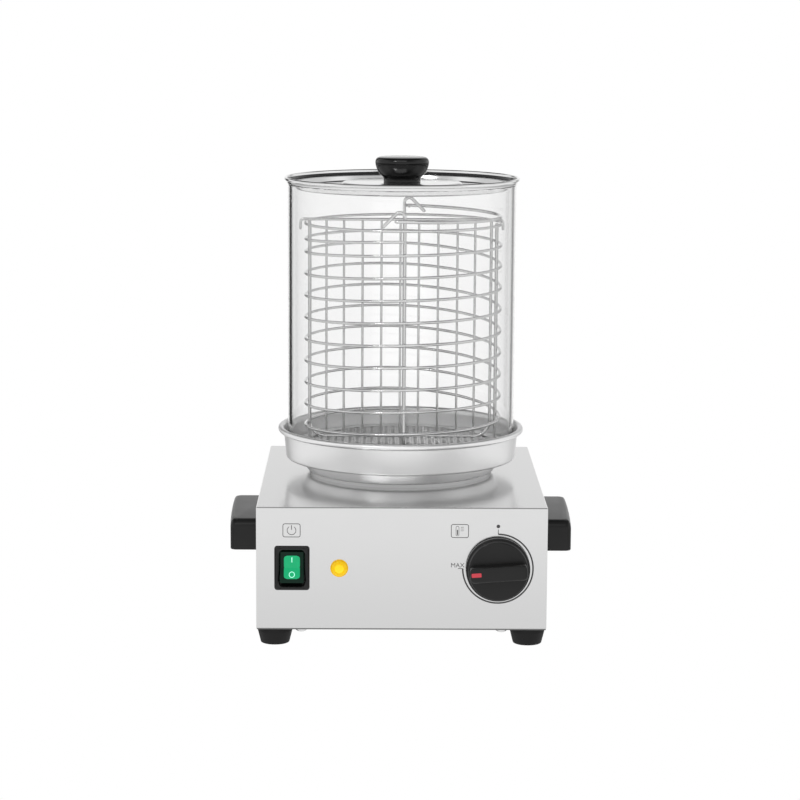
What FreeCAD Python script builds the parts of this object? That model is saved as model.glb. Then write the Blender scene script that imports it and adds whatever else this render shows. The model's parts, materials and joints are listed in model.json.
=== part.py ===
import FreeCAD, Part

import math
import os

import Sketcher
from FreeCAD import Placement, Rotation, Vector

# Countertop hot dog steamer, in millimetres.
# The origin is on the surface that the feet stand on, under the middle of the housing.
# +Z is up, the controls face -Y, and the water pan, the glass and the basket
# share one upright axis that stands behind the middle of the housing.

SIZES = {
    # sheet metal housing and its base
    "body_width": 240,
    "body_depth": 290,
    "body_height": 101.8,
    "body_sheet": 1.0,
    "fold_radius": 1.5,
    "lip_width": 20,
    "axis_setback": 20,
    "base_thickness": 1.2,
    "base_margin": 0.4,
    "vent_length": 46,
    "vent_width": 4,
    "vent_pitch": 14,
    "vent_count": 5,
    # feet and the screws under the base
    "foot_height": 14,
    "foot_top_radius": 14.4,
    "foot_bottom_radius": 11.3,
    "foot_recess_radius": 5.6,
    "foot_recess_depth": 6,
    "foot_inset": 15,
    "screw_radius": 2,
    "head_sides": 12,
    "shank_sides": 6,
    "hole_sides": 8,
    "screw_clearance": 0.1,
    "screw_head_radius": 4,
    "screw_head_height": 2.4,
    "screw_tail": 6,
    "nut_radius": 3.6,
    "nut_height": 3,
    "nut_clearance": 1,
    "base_screw_head_radius": 5.4,
    "base_screw_head_height": 3.6,
    "base_screw_spread": 166,
    "base_screw_inset": 8,
    # side handles
    "handle_length": 116,
    "handle_reach": 28.2,
    "handle_height": 26.5,
    "handle_bottom": 62,
    "handle_wall": 3,
    "handle_corner_radius": 12,
    "handle_edge_bevel": 3.5,
    "handle_end_block": 15,
    "handle_screw_depth": 10,
    # front controls
    "control_height": 66,
    "switch_place": 90.5,
    "bezel_width": 29.2,
    "bezel_height": 37.4,
    "bezel_thickness": 2.2,
    "bezel_corner_radius": 2,
    "switch_case_width": 25,
    "switch_case_height": 33,
    "switch_case_depth": 24,
    "switch_mouth_width": 20.6,
    "switch_mouth_height": 29.8,
    "switch_mouth_depth": 12,
    "rocker_gap": 0.35,
    "rocker_depth": 10,
    "rocker_stand_out": 0.5,
    "rocker_margin": 1.7,
    "rocker_back": 4,
    "rocker_pin_length": 1,
    "rocker_dish": 2.4,
    "rocker_pin_radius": 1.5,
    "rocker_pin_depth": 5.5,
    "terminal_width": 6.3,
    "terminal_thickness": 0.8,
    "terminal_length": 9,
    "terminal_pitch": 10,
    "lamp_place": 51.5,
    "lamp_bezel_radius": 7.5,
    "lamp_lens_radius": 6.7,
    "lamp_core_radius": 4.4,
    "lamp_lens_height": 1.6,
    "lamp_bezel_thickness": 2.4,
    "lamp_barrel_radius": 5,
    "lamp_barrel_length": 24,
    "lamp_nut_radius": 7.5,
    "lamp_nut_height": 3,
    "knob_place": 79.3,
    "knob_radius": 26.5,
    "knob_face_radius": 24.5,
    "knob_skirt": 7,
    "knob_setting": 4,
    "knob_height": 10.6,
    "knob_stand_off": 1.6,
    "grip_width": 13,
    "grip_height": 10.5,
    "grip_edge_radius": 2,
    "grip_corner_radius": 4,
    "grip_root": 1.2,
    "shaft_radius": 3,
    "shaft_fit": 0.05,
    "shaft_engagement": 9,
    "shaft_seat": 14,
    "thermostat_width": 34,
    "thermostat_height": 40,
    "thermostat_depth": 22,
    "thermostat_neck_radius": 5,
    "thermostat_neck_length": 1.2,
    "thermostat_screw_spread": 28,
    "flat_head_height": 1.1,
    # hot plate, heater and what is wired to it
    "plate_radius": 80,
    "plate_rise": 2.6,
    "plate_plug_radius": 74,
    "plate_plug_depth": 6,
    "plate_hole_clearance": 1,
    "element_width": 90,
    "element_height": 5,
    "clamp_length": 90,
    "clamp_width": 16,
    "clamp_thickness": 2,
    "clamp_stud_radius": 3,
    "clamp_stud_length": 18,
    "clamp_nut_radius": 6,
    "clamp_nut_height": 5,
    "cutout_radius": 8,
    "cutout_height": 10,
    "cutout_place": 56,
    "block_width": 46,
    "block_depth": 20,
    "block_height": 16,
    "block_pole_width": 6,
    "block_pole_pitch": 14,
    "block_place": 60,
    # rear cable gland
    "gland_place": 80,
    "gland_height": 38,
    "gland_bore_radius": 4,
    "gland_thread_radius": 8,
    "gland_hex_radius": 12,
    "gland_hex_length": 7,
    "gland_dome_radius": 10,
    "gland_nut_length": 5,
    "gland_tail": 1.5,
    "gland_dome_length": 15.7,
    "gland_dome_bevel": 2,
    "gland_thread_clearance": 0.1,
    # water pan
    "pan_sheet": 0.7,
    "well_radius": 84.6,
    "well_depth": 11,
    "pan_ledge_radius": 99.9,
    "pan_rim_radius": 102.8,
    "pan_rim_height": 25.5,
    "bead_radius": 2.5,
    # glass and the perforated plate inside it
    "glass_radius": 99.3,
    "glass_wall": 3,
    "glass_over_ring": 34.2,
    "sieve_gap": 0.6,
    "sieve_height": 12.4,
    "sieve_sheet": 0.8,
    "sieve_hole_radius": 5,
    "sieve_ring_pitch": 32,
    # wire basket
    "coil_radius": 84.8,
    "coil_wire": 1.25,
    "coil_pitch": 19.05,
    "coil_first_pitch": 11.8,
    "coil_last_pitch": 15,
    "coil_turns": 8,
    "coil_steps": 24,
    "coil_length_steps": 2,
    "weld_gap": 0.4,
    "coil_tilt": 2,
    "ring_height": 193.4,
    "coil_start_drop": 9.5,
    "post_wire": 1.5,
    "post_offset": 3.1,
    "post_corner_radius": 14,
    "hook_rise": 16,
    "hook_shoulder": 4,
    "hook_end_rise": 2,
    "hook_pin_reach": 4.9,
    "hook_apex_reach": 4.8,
    "hook_apex_radius": 1.9,
    "hook_reach": 20.3,
    "grid_pitch": 15.7,
    "grid_count": 11,
    "grid_corner_radius": 14,
    "grid_end_drop": 9,
    "grid_end_radius": 3,
    "grid_wire": 1.25,
    "bail_radius": 87.6,
    "bail_corner_radius": 2.5,
    "bail_pin_length": 10,
    "bail_rest_gap": 0.1,
    "bail_head_radius": 2.3,
    "bail_pivot_rise": 8.1,
    # lid and its knob
    "lid_sheet": 0.8,
    "lid_radius": 102.6,
    "lid_bead_radius": 1.7,
    "lid_rim_rise": 3.4,
    "lid_fit": 2.5,
    "lid_dish_depth": 4.8,
    "plateau_radius": 51,
    "plateau_foot_radius": 56,
    "plateau_rise": 5.4,
    "lid_knob_radius": 23.4,
    "lid_knob_neck_radius": 15.8,
    "lid_knob_height": 21.8,
    "lid_knob_neck_height": 9,
    "lid_knob_top_radius": 19.5,
    "lid_knob_head_height": 7,
    "lid_knob_inset": 0.9,
    "lid_screw_radius": 2.5,
    "lid_screw_depth": 12,
    "lid_screw_head_radius": 7,
    "lid_screw_head_height": 3,
    # shared
    "cut_overrun": 5,
}

doc = FreeCAD.newDocument("hot_dog_steamer")
sheet = doc.addObject("Spreadsheet::Sheet", "Sizes")
for row, (word, number) in enumerate(SIZES.items(), start=1):
    sheet.set(f"A{row}", word)
    sheet.set(f"B{row}", str(number))
    sheet.setAlias(f"B{row}", word)
doc.recompute()


class Size:
    """A number together with the formula of sheet cells that it comes from."""

    def __init__(self, number, formula):
        self.number = float(number)
        self.formula = formula

    def __add__(self, other):
        other = as_size(other)
        return Size(self.number + other.number, f"({self.formula} + {other.formula})")

    def __sub__(self, other):
        other = as_size(other)
        return Size(self.number - other.number, f"({self.formula} - {other.formula})")

    def __mul__(self, other):
        other = as_size(other)
        return Size(self.number * other.number, f"({self.formula} * {other.formula})")

    def __truediv__(self, other):
        other = as_size(other)
        return Size(self.number / other.number, f"({self.formula} / {other.formula})")

    def __neg__(self):
        return Size(-self.number, f"(0 - {self.formula})")

    def __float__(self):
        return self.number


def as_size(value):
    """A plain number becomes a Size whose formula is that number."""
    if isinstance(value, Size):
        return value
    return Size(value, str(round(value, 9)))


def size(word):
    """The named cell of the sheet."""
    return Size(SIZES[word], f"Sizes.{word}")


ZERO = as_size(0)
BOTH = (-1, 1)

# Levels and places that several pieces share.
base_level = size("foot_height")
floor_level = base_level + size("base_thickness")
top_level = floor_level + size("body_height")
pan_level = top_level + size("plate_rise")
ledge_level = pan_level + size("well_depth") + size("pan_sheet")
sieve_level = ledge_level + size("sieve_height")
axis_y = size("axis_setback")
half_width = size("body_width") / 2
half_depth = size("body_depth") / 2
inner_front = half_depth - size("body_sheet")
shank_fit = size("screw_radius") + size("screw_clearance")
foot_x = half_width - size("foot_inset")
foot_y = half_depth - size("foot_inset")
base_screw_x = size("base_screw_spread") / 2
base_screw_y = half_depth - size("base_screw_inset")
handle_middle = size("handle_bottom") + size("handle_height") / 2
handle_screw_y = (size("handle_length") - size("handle_end_block")) / 2
post_radius = size("coil_radius") - size("coil_wire") - size("post_wire") - size("weld_gap")
ring_level = sieve_level + size("ring_height")
glass_top = ring_level + size("glass_over_ring")


def bind(thing, prop, value):
    """Ties a property to the sheet."""
    thing.setExpression(prop, as_size(value).formula)


def place(thing, x=ZERO, y=ZERO, z=ZERO, axis=Vector(0, 0, 1), turn=0):
    """Puts a sub-part at a bound position, turned by a fixed angle."""
    thing.Placement = Placement(Vector(float(x), float(y), float(z)), Rotation(axis, turn))
    bind(thing, "Placement.Base.x", x)
    bind(thing, "Placement.Base.y", y)
    bind(thing, "Placement.Base.z", z)
    return thing


pieces = []


def named(thing, label):
    """Marks a document object as one physical piece of the steamer."""
    thing.Label = label
    pieces.append(thing)
    return thing


def new_body(name):
    """A body that is one physical piece."""
    return named(doc.addObject("PartDesign::Body", name), name)


def new_sketch(body, name, role="XY_Plane", offset=ZERO):
    """A sketch on one of the body's own planes, moved along that plane's normal."""
    sketch = body.newObject("Sketcher::SketchObject", name)
    plane = next(item for item in body.Origin.OriginFeatures if item.Role == role)
    sketch.AttachmentSupport = (plane, "")
    sketch.MapMode = "FlatFace"
    bind(sketch, "AttachmentOffset.Base.z", offset)
    return sketch


def hold(sketch, kind, spots, value):
    """A driving dimension of the sketch, bound to the sheet."""
    value = as_size(value)
    index = sketch.addConstraint(Sketcher.Constraint(kind, *spots, float(value)))
    sketch.setExpression(f"Constraints[{index}]", value.formula)


def hold_point(sketch, geometry, spot, x, y):
    """Holds a point of the sketch at x and y from the sketch's origin."""
    for kind, axis, value in (("DistanceX", -2, as_size(x)), ("DistanceY", -1, as_size(y))):
        if value.number == 0:
            sketch.addConstraint(Sketcher.Constraint("PointOnObject", geometry, spot, axis))
        else:
            hold(sketch, kind, (-1, 1, geometry, spot), value)


def bend(before, spot, after, radius):
    """Where an arc of that radius leaves and meets the two straight runs at a corner."""
    back = (before - spot).normalize()
    ahead = (after - spot).normalize()
    half = back.getAngle(ahead) / 2
    reach = radius / math.tan(half)
    centre = spot + (back + ahead).normalize() * (radius / math.sin(half))
    return spot + back * reach, centre, spot + ahead * reach


def outline(sketch, corners, closed=True):
    """Straight runs through corners (x, y), with an arc where a corner has a radius."""
    spots = [Vector(float(corner[0]), float(corner[1]), 0) for corner in corners]
    count = len(spots)
    leave = list(spots)
    meet = list(spots)
    arcs = {}
    for i, corner in enumerate(corners):
        if len(corner) < 3:
            continue
        radius = float(corner[2])
        before, spot, after = spots[i - 1], spots[i], spots[(i + 1) % count]
        leave[i], centre, meet[i] = bend(before, spot, after, radius)
        left = (spot - before).cross(after - spot).z > 0
        first, last = (leave[i], meet[i]) if left else (meet[i], leave[i])
        start = math.atan2(first.y - centre.y, first.x - centre.x)
        end = math.atan2(last.y - centre.y, last.x - centre.x)
        if end < start:
            end += 2 * math.pi
        circle = Part.Circle(centre, Vector(0, 0, 1), radius)
        arcs[i] = (Part.ArcOfCircle(circle, start, end), 1 if left else 2)
    runs = count if closed else count - 1
    lines = []
    for i in range(runs):
        lines.append(sketch.addGeometry(Part.LineSegment(meet[i], leave[(i + 1) % count])))
    for i, corner in enumerate(corners):
        x, y = corner[0], corner[1]
        if not closed and i == 0:
            hold_point(sketch, lines[0], 1, x, y)
            continue
        if not closed and i == count - 1:
            hold_point(sketch, lines[-1], 2, x, y)
            continue
        before, after = lines[i - 1], lines[i]
        if i not in arcs:
            sketch.addConstraint(Sketcher.Constraint("Coincident", before, 2, after, 1))
            hold_point(sketch, after, 1, x, y)
            continue
        shape, near = arcs[i]
        point = sketch.addGeometry(Part.Point(spots[i]), True)
        arc = sketch.addGeometry(shape)
        hold_point(sketch, point, 1, x, y)
        sketch.addConstraint(Sketcher.Constraint("PointOnObject", point, 1, before))
        sketch.addConstraint(Sketcher.Constraint("PointOnObject", point, 1, after))
        sketch.addConstraint(Sketcher.Constraint("Tangent", before, 2, arc, near))
        sketch.addConstraint(Sketcher.Constraint("Tangent", arc, 3 - near, after, 1))
        hold(sketch, "Radius", (arc,), corner[2])
    return sketch


def box_outline(sketch, width, height, x=ZERO, y=ZERO, rounding=None):
    """A rectangle centred at x and y."""
    corners = []
    for side, level in ((-0.5, -0.5), (0.5, -0.5), (0.5, 0.5), (-0.5, 0.5)):
        corner = (x + width * side, y + height * level)
        corners.append(corner if rounding is None else corner + (rounding,))
    return outline(sketch, corners)


def round_outline(sketch, radius, x=ZERO, y=ZERO):
    """A circle centred at x and y."""
    centre = Vector(float(x), float(y), 0)
    circle = sketch.addGeometry(Part.Circle(centre, Vector(0, 0, 1), float(radius)))
    hold(sketch, "Radius", (circle,), radius)
    if x.number == 0 and y.number == 0:
        sketch.addConstraint(Sketcher.Constraint("Coincident", circle, 3, -1, 1))
    else:
        hold_point(sketch, circle, 3, x, y)
    return sketch


def many_sided(sketch, radius, sides, x=ZERO, y=ZERO):
    """A regular polygon whose corners lie on a circle."""
    corners = []
    for i in range(sides):
        angle = 2 * math.pi * (i + 0.5) / sides
        corners.append((x + radius * math.cos(angle), y + radius * math.sin(angle)))
    return outline(sketch, corners)


def screw_hole(sketch, x, y, radius=None):
    """An eight-sided hole whose flats clear a shank."""
    clear = (radius or size("screw_radius")) + size("screw_clearance")
    sides = SIZES["hole_sides"]
    return many_sided(sketch, clear / math.cos(math.pi / sides), sides, x, y)


def pad(body, sketch, length, middle=False, back=False):
    """Adds the sketch's area over a length along the sketch's normal."""
    feature = body.newObject("PartDesign::Pad", sketch.Name + "_pad")
    feature.Profile = sketch
    bind(feature, "Length", length)
    feature.Midplane = middle
    feature.Reversed = back
    return feature


def pocket(body, sketch, length, middle=False, back=False):
    """Cuts the sketch's area over a length against the sketch's normal."""
    feature = body.newObject("PartDesign::Pocket", sketch.Name + "_pocket")
    feature.Profile = sketch
    bind(feature, "Length", length)
    feature.Midplane = middle
    feature.Reversed = back
    return feature


def revolve(body, name, corners):
    """Turns an outline of radius and height round the body's upright axis."""
    sketch = outline(new_sketch(body, name, "XZ_Plane"), corners)
    return turn_sketch(body, sketch)


def turn_sketch(body, sketch):
    """Turns a sketch on the XZ plane round the body's upright axis."""
    feature = body.newObject("PartDesign::Revolution", sketch.Name + "_turned")
    feature.Profile = sketch
    feature.ReferenceAxis = (sketch, ["V_Axis"])
    feature.Angle = 360
    return feature


def round_edges(body, feature, radius, wanted):
    """Rounds the edges that the test accepts."""
    doc.recompute()
    names = [f"Edge{i}" for i, edge in enumerate(feature.Shape.Edges, 1) if wanted(edge)]
    rounding = body.newObject("PartDesign::Fillet", feature.Name + "_rounded")
    rounding.Base = (feature, names)
    bind(rounding, "Radius", radius)
    return rounding


def ease_edges(body, feature, width, wanted):
    """Bevels the edges that the test accepts."""
    doc.recompute()
    names = [f"Edge{i}" for i, edge in enumerate(feature.Shape.Edges, 1) if wanted(edge)]
    bevel = body.newObject("PartDesign::Chamfer", feature.Name + "_bevelled")
    bevel.Base = (feature, names)
    bind(bevel, "Size", width)
    return bevel


def at_level(level):
    """Accepts an edge that lies wholly at one height."""
    def test(edge):
        box = edge.BoundBox
        return max(abs(box.ZMin - float(level)), abs(box.ZMax - float(level))) < TOUCH
    return test


TOUCH = 0.001


def cylinder(name, radius, height, x=ZERO, y=ZERO, z=ZERO, axis=Vector(0, 0, 1), turn=0):
    """A plain round pin, standing on its place along its turned axis."""
    pin = doc.addObject("Part::Cylinder", name)
    bind(pin, "Radius", radius)
    bind(pin, "Height", height)
    return place(pin, x, y, z, axis, turn)


def joined(name, *parts):
    """Several primitives fused into one solid."""
    fused = doc.addObject("Part::MultiFuse", name)
    fused.Shapes = list(parts)
    return fused


def cut(name, base, tool):
    """One primitive with another taken out of it."""
    result = doc.addObject("Part::Cut", name)
    result.Base = base
    result.Tool = tool
    return result


def group(name, parts):
    """Identical fasteners, kept as separate solids of one named piece."""
    compound = doc.addObject("Part::Compound", name)
    compound.Links = list(parts)
    return named(compound, name)


ALONG = {
    "up": (Vector(0, 0, 1), 0),
    "down": (Vector(1, 0, 0), 180),
    "right": (Vector(0, 1, 0), 90),
    "left": (Vector(0, 1, 0), -90),
    "forward": (Vector(1, 0, 0), 90),
    "backward": (Vector(1, 0, 0), -90),
}


def rod(name, sides, radius, height, x, y, z, way="up"):
    """A straight many-sided rod, standing on its place and pointing the given way."""
    prism = doc.addObject("Part::Prism", name)
    prism.Polygon = sides
    bind(prism, "Circumradius", radius)
    bind(prism, "Height", height)
    return place(prism, x, y, z, *ALONG[way])


def screw(name, head_radius, head_height, shank_length, x, y, z, way):
    """A screw whose head stands on its place and whose shank points the given way."""
    step = Rotation(*ALONG[way]).multVec(Vector(0, 0, 1))
    head = rod(name + "_head", SIZES["head_sides"], head_radius, head_height, x, y, z, way)
    shank = rod(name + "_shank", SIZES["shank_sides"], size("screw_radius"), shank_length,
                x + head_height * round(step.x), y + head_height * round(step.y),
                z + head_height * round(step.z), way)
    return joined(name, head, shank)


def nut(name, across, bore, height, x, y, z, way="up"):
    """A six-sided nut."""
    block = rod(name + "_block", 6, across, height, x, y, z, way)
    hole = rod(name + "_bore", SIZES["hole_sides"], bore / math.cos(math.pi / SIZES["hole_sides"]), height,
               x, y, z, way)
    return cut(name, block, hole)


def four_places(x, y):
    """The four mirrored places of a fastener."""
    return [(x * side, y * end) for side in BOTH for end in BOTH]


def make_housing():
    body = new_body("housing")
    plan = box_outline(new_sketch(body, "housing_plan", offset=floor_level),
                       size("body_width"), size("body_depth"))
    block = pad(body, plan, size("body_height"))
    ease_edges(body, block, size("fold_radius") / 2, at_level(top_level))
    inside = box_outline(new_sketch(body, "housing_inside", offset=floor_level + size("body_sheet")),
                         size("body_width") - size("body_sheet") * 2,
                         size("body_depth") - size("body_sheet") * 2)
    pocket(body, inside, size("body_height") - size("body_sheet") * 2, back=True)
    below = box_outline(new_sketch(body, "housing_below", offset=floor_level),
                        size("body_width") - size("body_sheet") * 2,
                        size("body_depth") - size("lip_width") * 2)
    pocket(body, below, size("body_sheet") * 2, back=True)
    lips = new_sketch(body, "housing_lips", offset=floor_level)
    for x, y in four_places(base_screw_x, base_screw_y):
        screw_hole(lips, x, y)
    for x, y in four_places(foot_x, foot_y):
        screw_hole(lips, x, y, size("nut_radius") + size("nut_clearance"))
    pocket(body, lips, size("body_sheet") * 2, back=True)
    top = new_sketch(body, "housing_top", offset=top_level)
    round_outline(top, size("plate_plug_radius") + size("plate_hole_clearance"), ZERO, axis_y)
    pocket(body, top, size("body_sheet") * 2)
    front = new_sketch(body, "housing_front", "XZ_Plane", half_depth)
    box_outline(front, size("switch_case_width") + size("screw_clearance") * 2,
                size("switch_case_height") + size("screw_clearance") * 2,
                -size("switch_place"), size("control_height"))
    round_outline(front, size("lamp_barrel_radius") + size("screw_clearance"),
                  -size("lamp_place"), size("control_height"))
    round_outline(front, size("thermostat_neck_radius") + size("screw_clearance"),
                  size("knob_place"), size("control_height"))
    for side in BOTH:
        screw_hole(front, size("knob_place") + size("thermostat_screw_spread") * (side / 2),
                   size("control_height"))
    pocket(body, front, size("body_sheet") * 2)
    rear = new_sketch(body, "housing_rear", "XZ_Plane", -half_depth)
    round_outline(rear, size("gland_thread_radius") + size("gland_thread_clearance"),
                  size("gland_place"), size("gland_height"))
    middle = (size("vent_count") - 1) / 2
    for i in range(SIZES["vent_count"]):
        box_outline(rear, size("vent_width"), size("vent_length"),
                    size("vent_pitch") * i - size("vent_pitch") * middle, size("control_height"))
    pocket(body, rear, size("body_sheet") * 2, back=True)
    sides = new_sketch(body, "housing_sides", "YZ_Plane", half_width)
    for end in BOTH:
        screw_hole(sides, handle_screw_y * end, handle_middle)
    pocket(body, sides, size("body_width") + size("cut_overrun"))


def make_base_plate():
    body = new_body("base_plate")
    plan = box_outline(new_sketch(body, "base_plan", offset=base_level),
                       size("body_width") - size("base_margin") * 2,
                       size("body_depth") - size("base_margin") * 2)
    pad(body, plan, size("base_thickness"))
    holes = new_sketch(body, "base_holes", offset=base_level)
    for x, y in four_places(foot_x, foot_y) + four_places(base_screw_x, base_screw_y):
        screw_hole(holes, x, y)
    middle = (size("vent_count") - 1) / 2
    for i in range(SIZES["vent_count"]):
        box_outline(holes, size("vent_length"), size("vent_width"), ZERO,
                    size("vent_pitch") * i - size("vent_pitch") * middle)
    pocket(body, holes, size("base_thickness") * 2, back=True)


def make_feet():
    screws = []
    nuts = []
    recess = size("foot_recess_depth")
    places = {"front_left": (-1, -1), "front_right": (1, -1), "rear_left": (-1, 1), "rear_right": (1, 1)}
    feet = []
    for where, (side, end) in places.items():
        x = foot_x * side
        y = foot_y * end
        foot = doc.addObject("PartDesign::Body", "foot_" + where)
        revolve(foot, where + "_profile", (
            (shank_fit, recess),
            (size("foot_recess_radius"), recess),
            (size("foot_recess_radius"), ZERO),
            (size("foot_bottom_radius"), ZERO),
            (size("foot_top_radius"), base_level),
            (shank_fit, base_level),
        ))
        feet.append(place(foot, x, y, ZERO))
        grip = base_level - recess + size("base_thickness") + size("screw_tail")
        screws.append(screw("foot_screw_" + where, size("screw_head_radius"), size("screw_head_height"),
                            grip, x, y, recess - size("screw_head_height"), "up"))
        nuts.append(nut("foot_nut_" + where, size("nut_radius"), shank_fit, size("nut_height"),
                        x, y, floor_level))
    group("feet", feet)
    group("foot_screws", screws)
    group("foot_nuts", nuts)


def make_base_screws():
    screws = []
    for i, (x, y) in enumerate(four_places(base_screw_x, base_screw_y)):
        screws.append(screw(f"base_screw_{i}", size("base_screw_head_radius"), size("base_screw_head_height"),
                            size("screw_tail"), x, y, base_level - size("base_screw_head_height"), "up"))
    group("base_plate_screws", screws)


def make_handle(name, side):
    body = new_body(name)
    inner = half_width * side
    outer = inner + size("handle_reach") * side
    half_length = size("handle_length") / 2
    plan = outline(new_sketch(body, name + "_plan", offset=size("handle_bottom")), (
        (inner, -half_length),
        (outer, -half_length, size("handle_corner_radius")),
        (outer, half_length, size("handle_corner_radius")),
        (inner, half_length),
    ))
    block = pad(body, plan, size("handle_height"))
    top = size("handle_bottom") + size("handle_height")

    def outside(edge):
        return at_level(top)(edge) and abs(edge.CenterOfMass.x - float(inner)) > TOUCH

    ease_edges(body, block, size("handle_edge_bevel"), outside)
    hollow = outline(new_sketch(body, name + "_hollow", offset=size("handle_bottom")), (
        (inner + size("handle_wall") * side, size("handle_end_block") - half_length),
        (outer - size("handle_wall") * side, size("handle_end_block") - half_length),
        (outer - size("handle_wall") * side, half_length - size("handle_end_block")),
        (inner + size("handle_wall") * side, half_length - size("handle_end_block")),
    ))
    pocket(body, hollow, size("handle_height") - size("handle_wall"), back=True)
    holes = new_sketch(body, name + "_holes", "YZ_Plane", inner)
    for end in BOTH:
        screw_hole(holes, handle_screw_y * end, handle_middle)
    pocket(body, holes, size("handle_screw_depth"), back=side > 0)


def make_handle_screws():
    screws = []
    for side, way in ((-1, "left"), (1, "right")):
        start = half_width - size("body_sheet") - size("screw_head_height")
        grip = size("body_sheet") + size("handle_screw_depth") - size("screw_clearance")
        for end in BOTH:
            screws.append(screw(f"handle_screw_{way}_{end + 1}", size("screw_head_radius"),
                                size("screw_head_height"), grip, start * side,
                                handle_screw_y * end, handle_middle, way))
    group("handle_screws", screws)


def make_switch():
    body = new_body("switch_body")
    x = -size("switch_place")
    z = size("control_height")
    plane = ("XZ_Plane", half_depth)
    bezel = new_sketch(body, "switch_bezel", *plane)
    box_outline(bezel, size("bezel_width"), size("bezel_height"), x, z, size("bezel_corner_radius"))
    pad(body, bezel, size("bezel_thickness"))
    case = new_sketch(body, "switch_case", *plane)
    box_outline(case, size("switch_case_width"), size("switch_case_height"), x, z)
    pad(body, case, size("switch_case_depth"), back=True)
    mouth = new_sketch(body, "switch_mouth", "XZ_Plane", half_depth + size("bezel_thickness"))
    box_outline(mouth, size("switch_mouth_width"), size("switch_mouth_height"), x, z)
    pocket(body, mouth, size("switch_mouth_depth"))
    pivot_y = -(half_depth + size("bezel_thickness") - size("rocker_pin_depth"))
    holes = new_sketch(body, "switch_pivots", "YZ_Plane", x)
    round_outline(holes, size("rocker_pin_radius") + size("shaft_fit"), pivot_y, z)
    pocket(body, holes, size("switch_mouth_width") + size("rocker_pin_length") * 2 + size("rocker_gap"),
           middle=True)
    blades = []
    for side in BOTH:
        for end in BOTH:
            blade = doc.addObject("Part::Box", f"switch_blade_{side + 1}_{end + 1}")
            bind(blade, "Length", size("terminal_width"))
            bind(blade, "Width", size("terminal_length"))
            bind(blade, "Height", size("terminal_thickness"))
            place(blade, x + size("terminal_pitch") * (side / 2) - size("terminal_width") / 2,
                  size("switch_case_depth") - half_depth, z + size("terminal_pitch") * (end / 2))
            blades.append(blade)
    group("switch_terminals", blades)
    make_rocker(x, pivot_y, z)


def make_rocker(x, y, z):
    body = new_body("switch_rocker")
    half = size("switch_mouth_height") / 2 - size("rocker_margin")
    lip = size("rocker_pin_depth") + size("rocker_stand_out")
    width = size("switch_mouth_width") - size("rocker_gap") * 2
    side = outline(new_sketch(body, "rocker_side", "YZ_Plane"), (
        (-lip, -half),
        (-(lip - size("rocker_dish")), ZERO),
        (-lip, half),
        (size("rocker_back"), half * 0.7),
        (size("rocker_back"), half * -0.7),
    ))
    pad(body, side, width, middle=True)
    pins = round_outline(new_sketch(body, "rocker_pins", "YZ_Plane"), size("rocker_pin_radius"))
    pad(body, pins, width + size("rocker_pin_length") * 2, middle=True)
    place(body, x, y, z, Vector(1, 0, 0), -10)


def make_lamp():
    x = -size("lamp_place")
    z = size("control_height")
    axis, turn = ALONG["forward"]
    thickness = size("lamp_bezel_thickness")
    barrel = size("lamp_barrel_radius")
    seat = thickness / 3
    holder = new_body("indicator_holder")
    revolve(holder, "holder_profile", (
        (ZERO, -size("lamp_barrel_length")),
        (barrel, -size("lamp_barrel_length")),
        (barrel, ZERO),
        (size("lamp_bezel_radius"), ZERO),
        (size("lamp_bezel_radius"), seat),
        (ZERO, seat),
    ))
    place(holder, x, -half_depth, z, axis, turn)
    lens = new_body("indicator_lens")
    revolve(lens, "lens_profile", (
        (ZERO, seat),
        (size("lamp_lens_radius"), seat),
        (size("lamp_lens_radius"), thickness),
        (size("lamp_core_radius"), thickness),
        (size("lamp_core_radius"), thickness + size("lamp_lens_height")),
        (ZERO, thickness + size("lamp_lens_height")),
    ))
    place(lens, x, -half_depth, z, axis, turn)
    named(nut("lamp_nut", size("lamp_nut_radius"), barrel + size("screw_clearance"), size("lamp_nut_height"),
              x, -inner_front, z, "backward"), "indicator_nut")


def make_thermostat():
    x = size("knob_place")
    z = size("control_height")
    body = new_body("thermostat_body")
    case = new_sketch(body, "thermostat_case", "XZ_Plane", inner_front)
    box_outline(case, size("thermostat_width"), size("thermostat_height"), x, z)
    pad(body, case, size("thermostat_depth"), back=True)
    neck = round_outline(new_sketch(body, "thermostat_neck", "XZ_Plane", inner_front),
                         size("thermostat_neck_radius"), x, z)
    pad(body, neck, size("body_sheet") + size("thermostat_neck_length"))
    reach = half_depth + size("thermostat_neck_length")
    bore = round_outline(new_sketch(body, "thermostat_bore", "XZ_Plane", reach),
                         size("shaft_radius") + size("shaft_fit"), x, z)
    pocket(body, bore, size("shaft_seat"))
    screws = new_sketch(body, "thermostat_screw_holes", "XZ_Plane", inner_front)
    fasteners = []
    for side in BOTH:
        place_x = x + size("thermostat_screw_spread") * (side / 2)
        screw_hole(screws, place_x, z)
        fasteners.append(screw(f"thermostat_screw_{side + 1}", size("screw_head_radius"),
                               size("flat_head_height"), size("screw_tail"), place_x,
                               -(half_depth + size("flat_head_height")), z, "backward"))
    pocket(body, screws, size("screw_tail"))
    group("thermostat_screws", fasteners)
    axis, turn = ALONG["forward"]
    gap = size("knob_stand_off")
    hub_end = gap + size("shaft_engagement")
    named(cylinder("thermostat_shaft", size("shaft_radius"),
                   size("shaft_seat") - size("screw_clearance") - size("thermostat_neck_length") + hub_end
                   - size("screw_clearance"),
                   x, -(half_depth - size("shaft_seat") + size("screw_clearance")
                        + size("thermostat_neck_length")), z, axis, turn), "thermostat_shaft")
    make_thermostat_knob(x, z, axis, turn)


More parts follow.
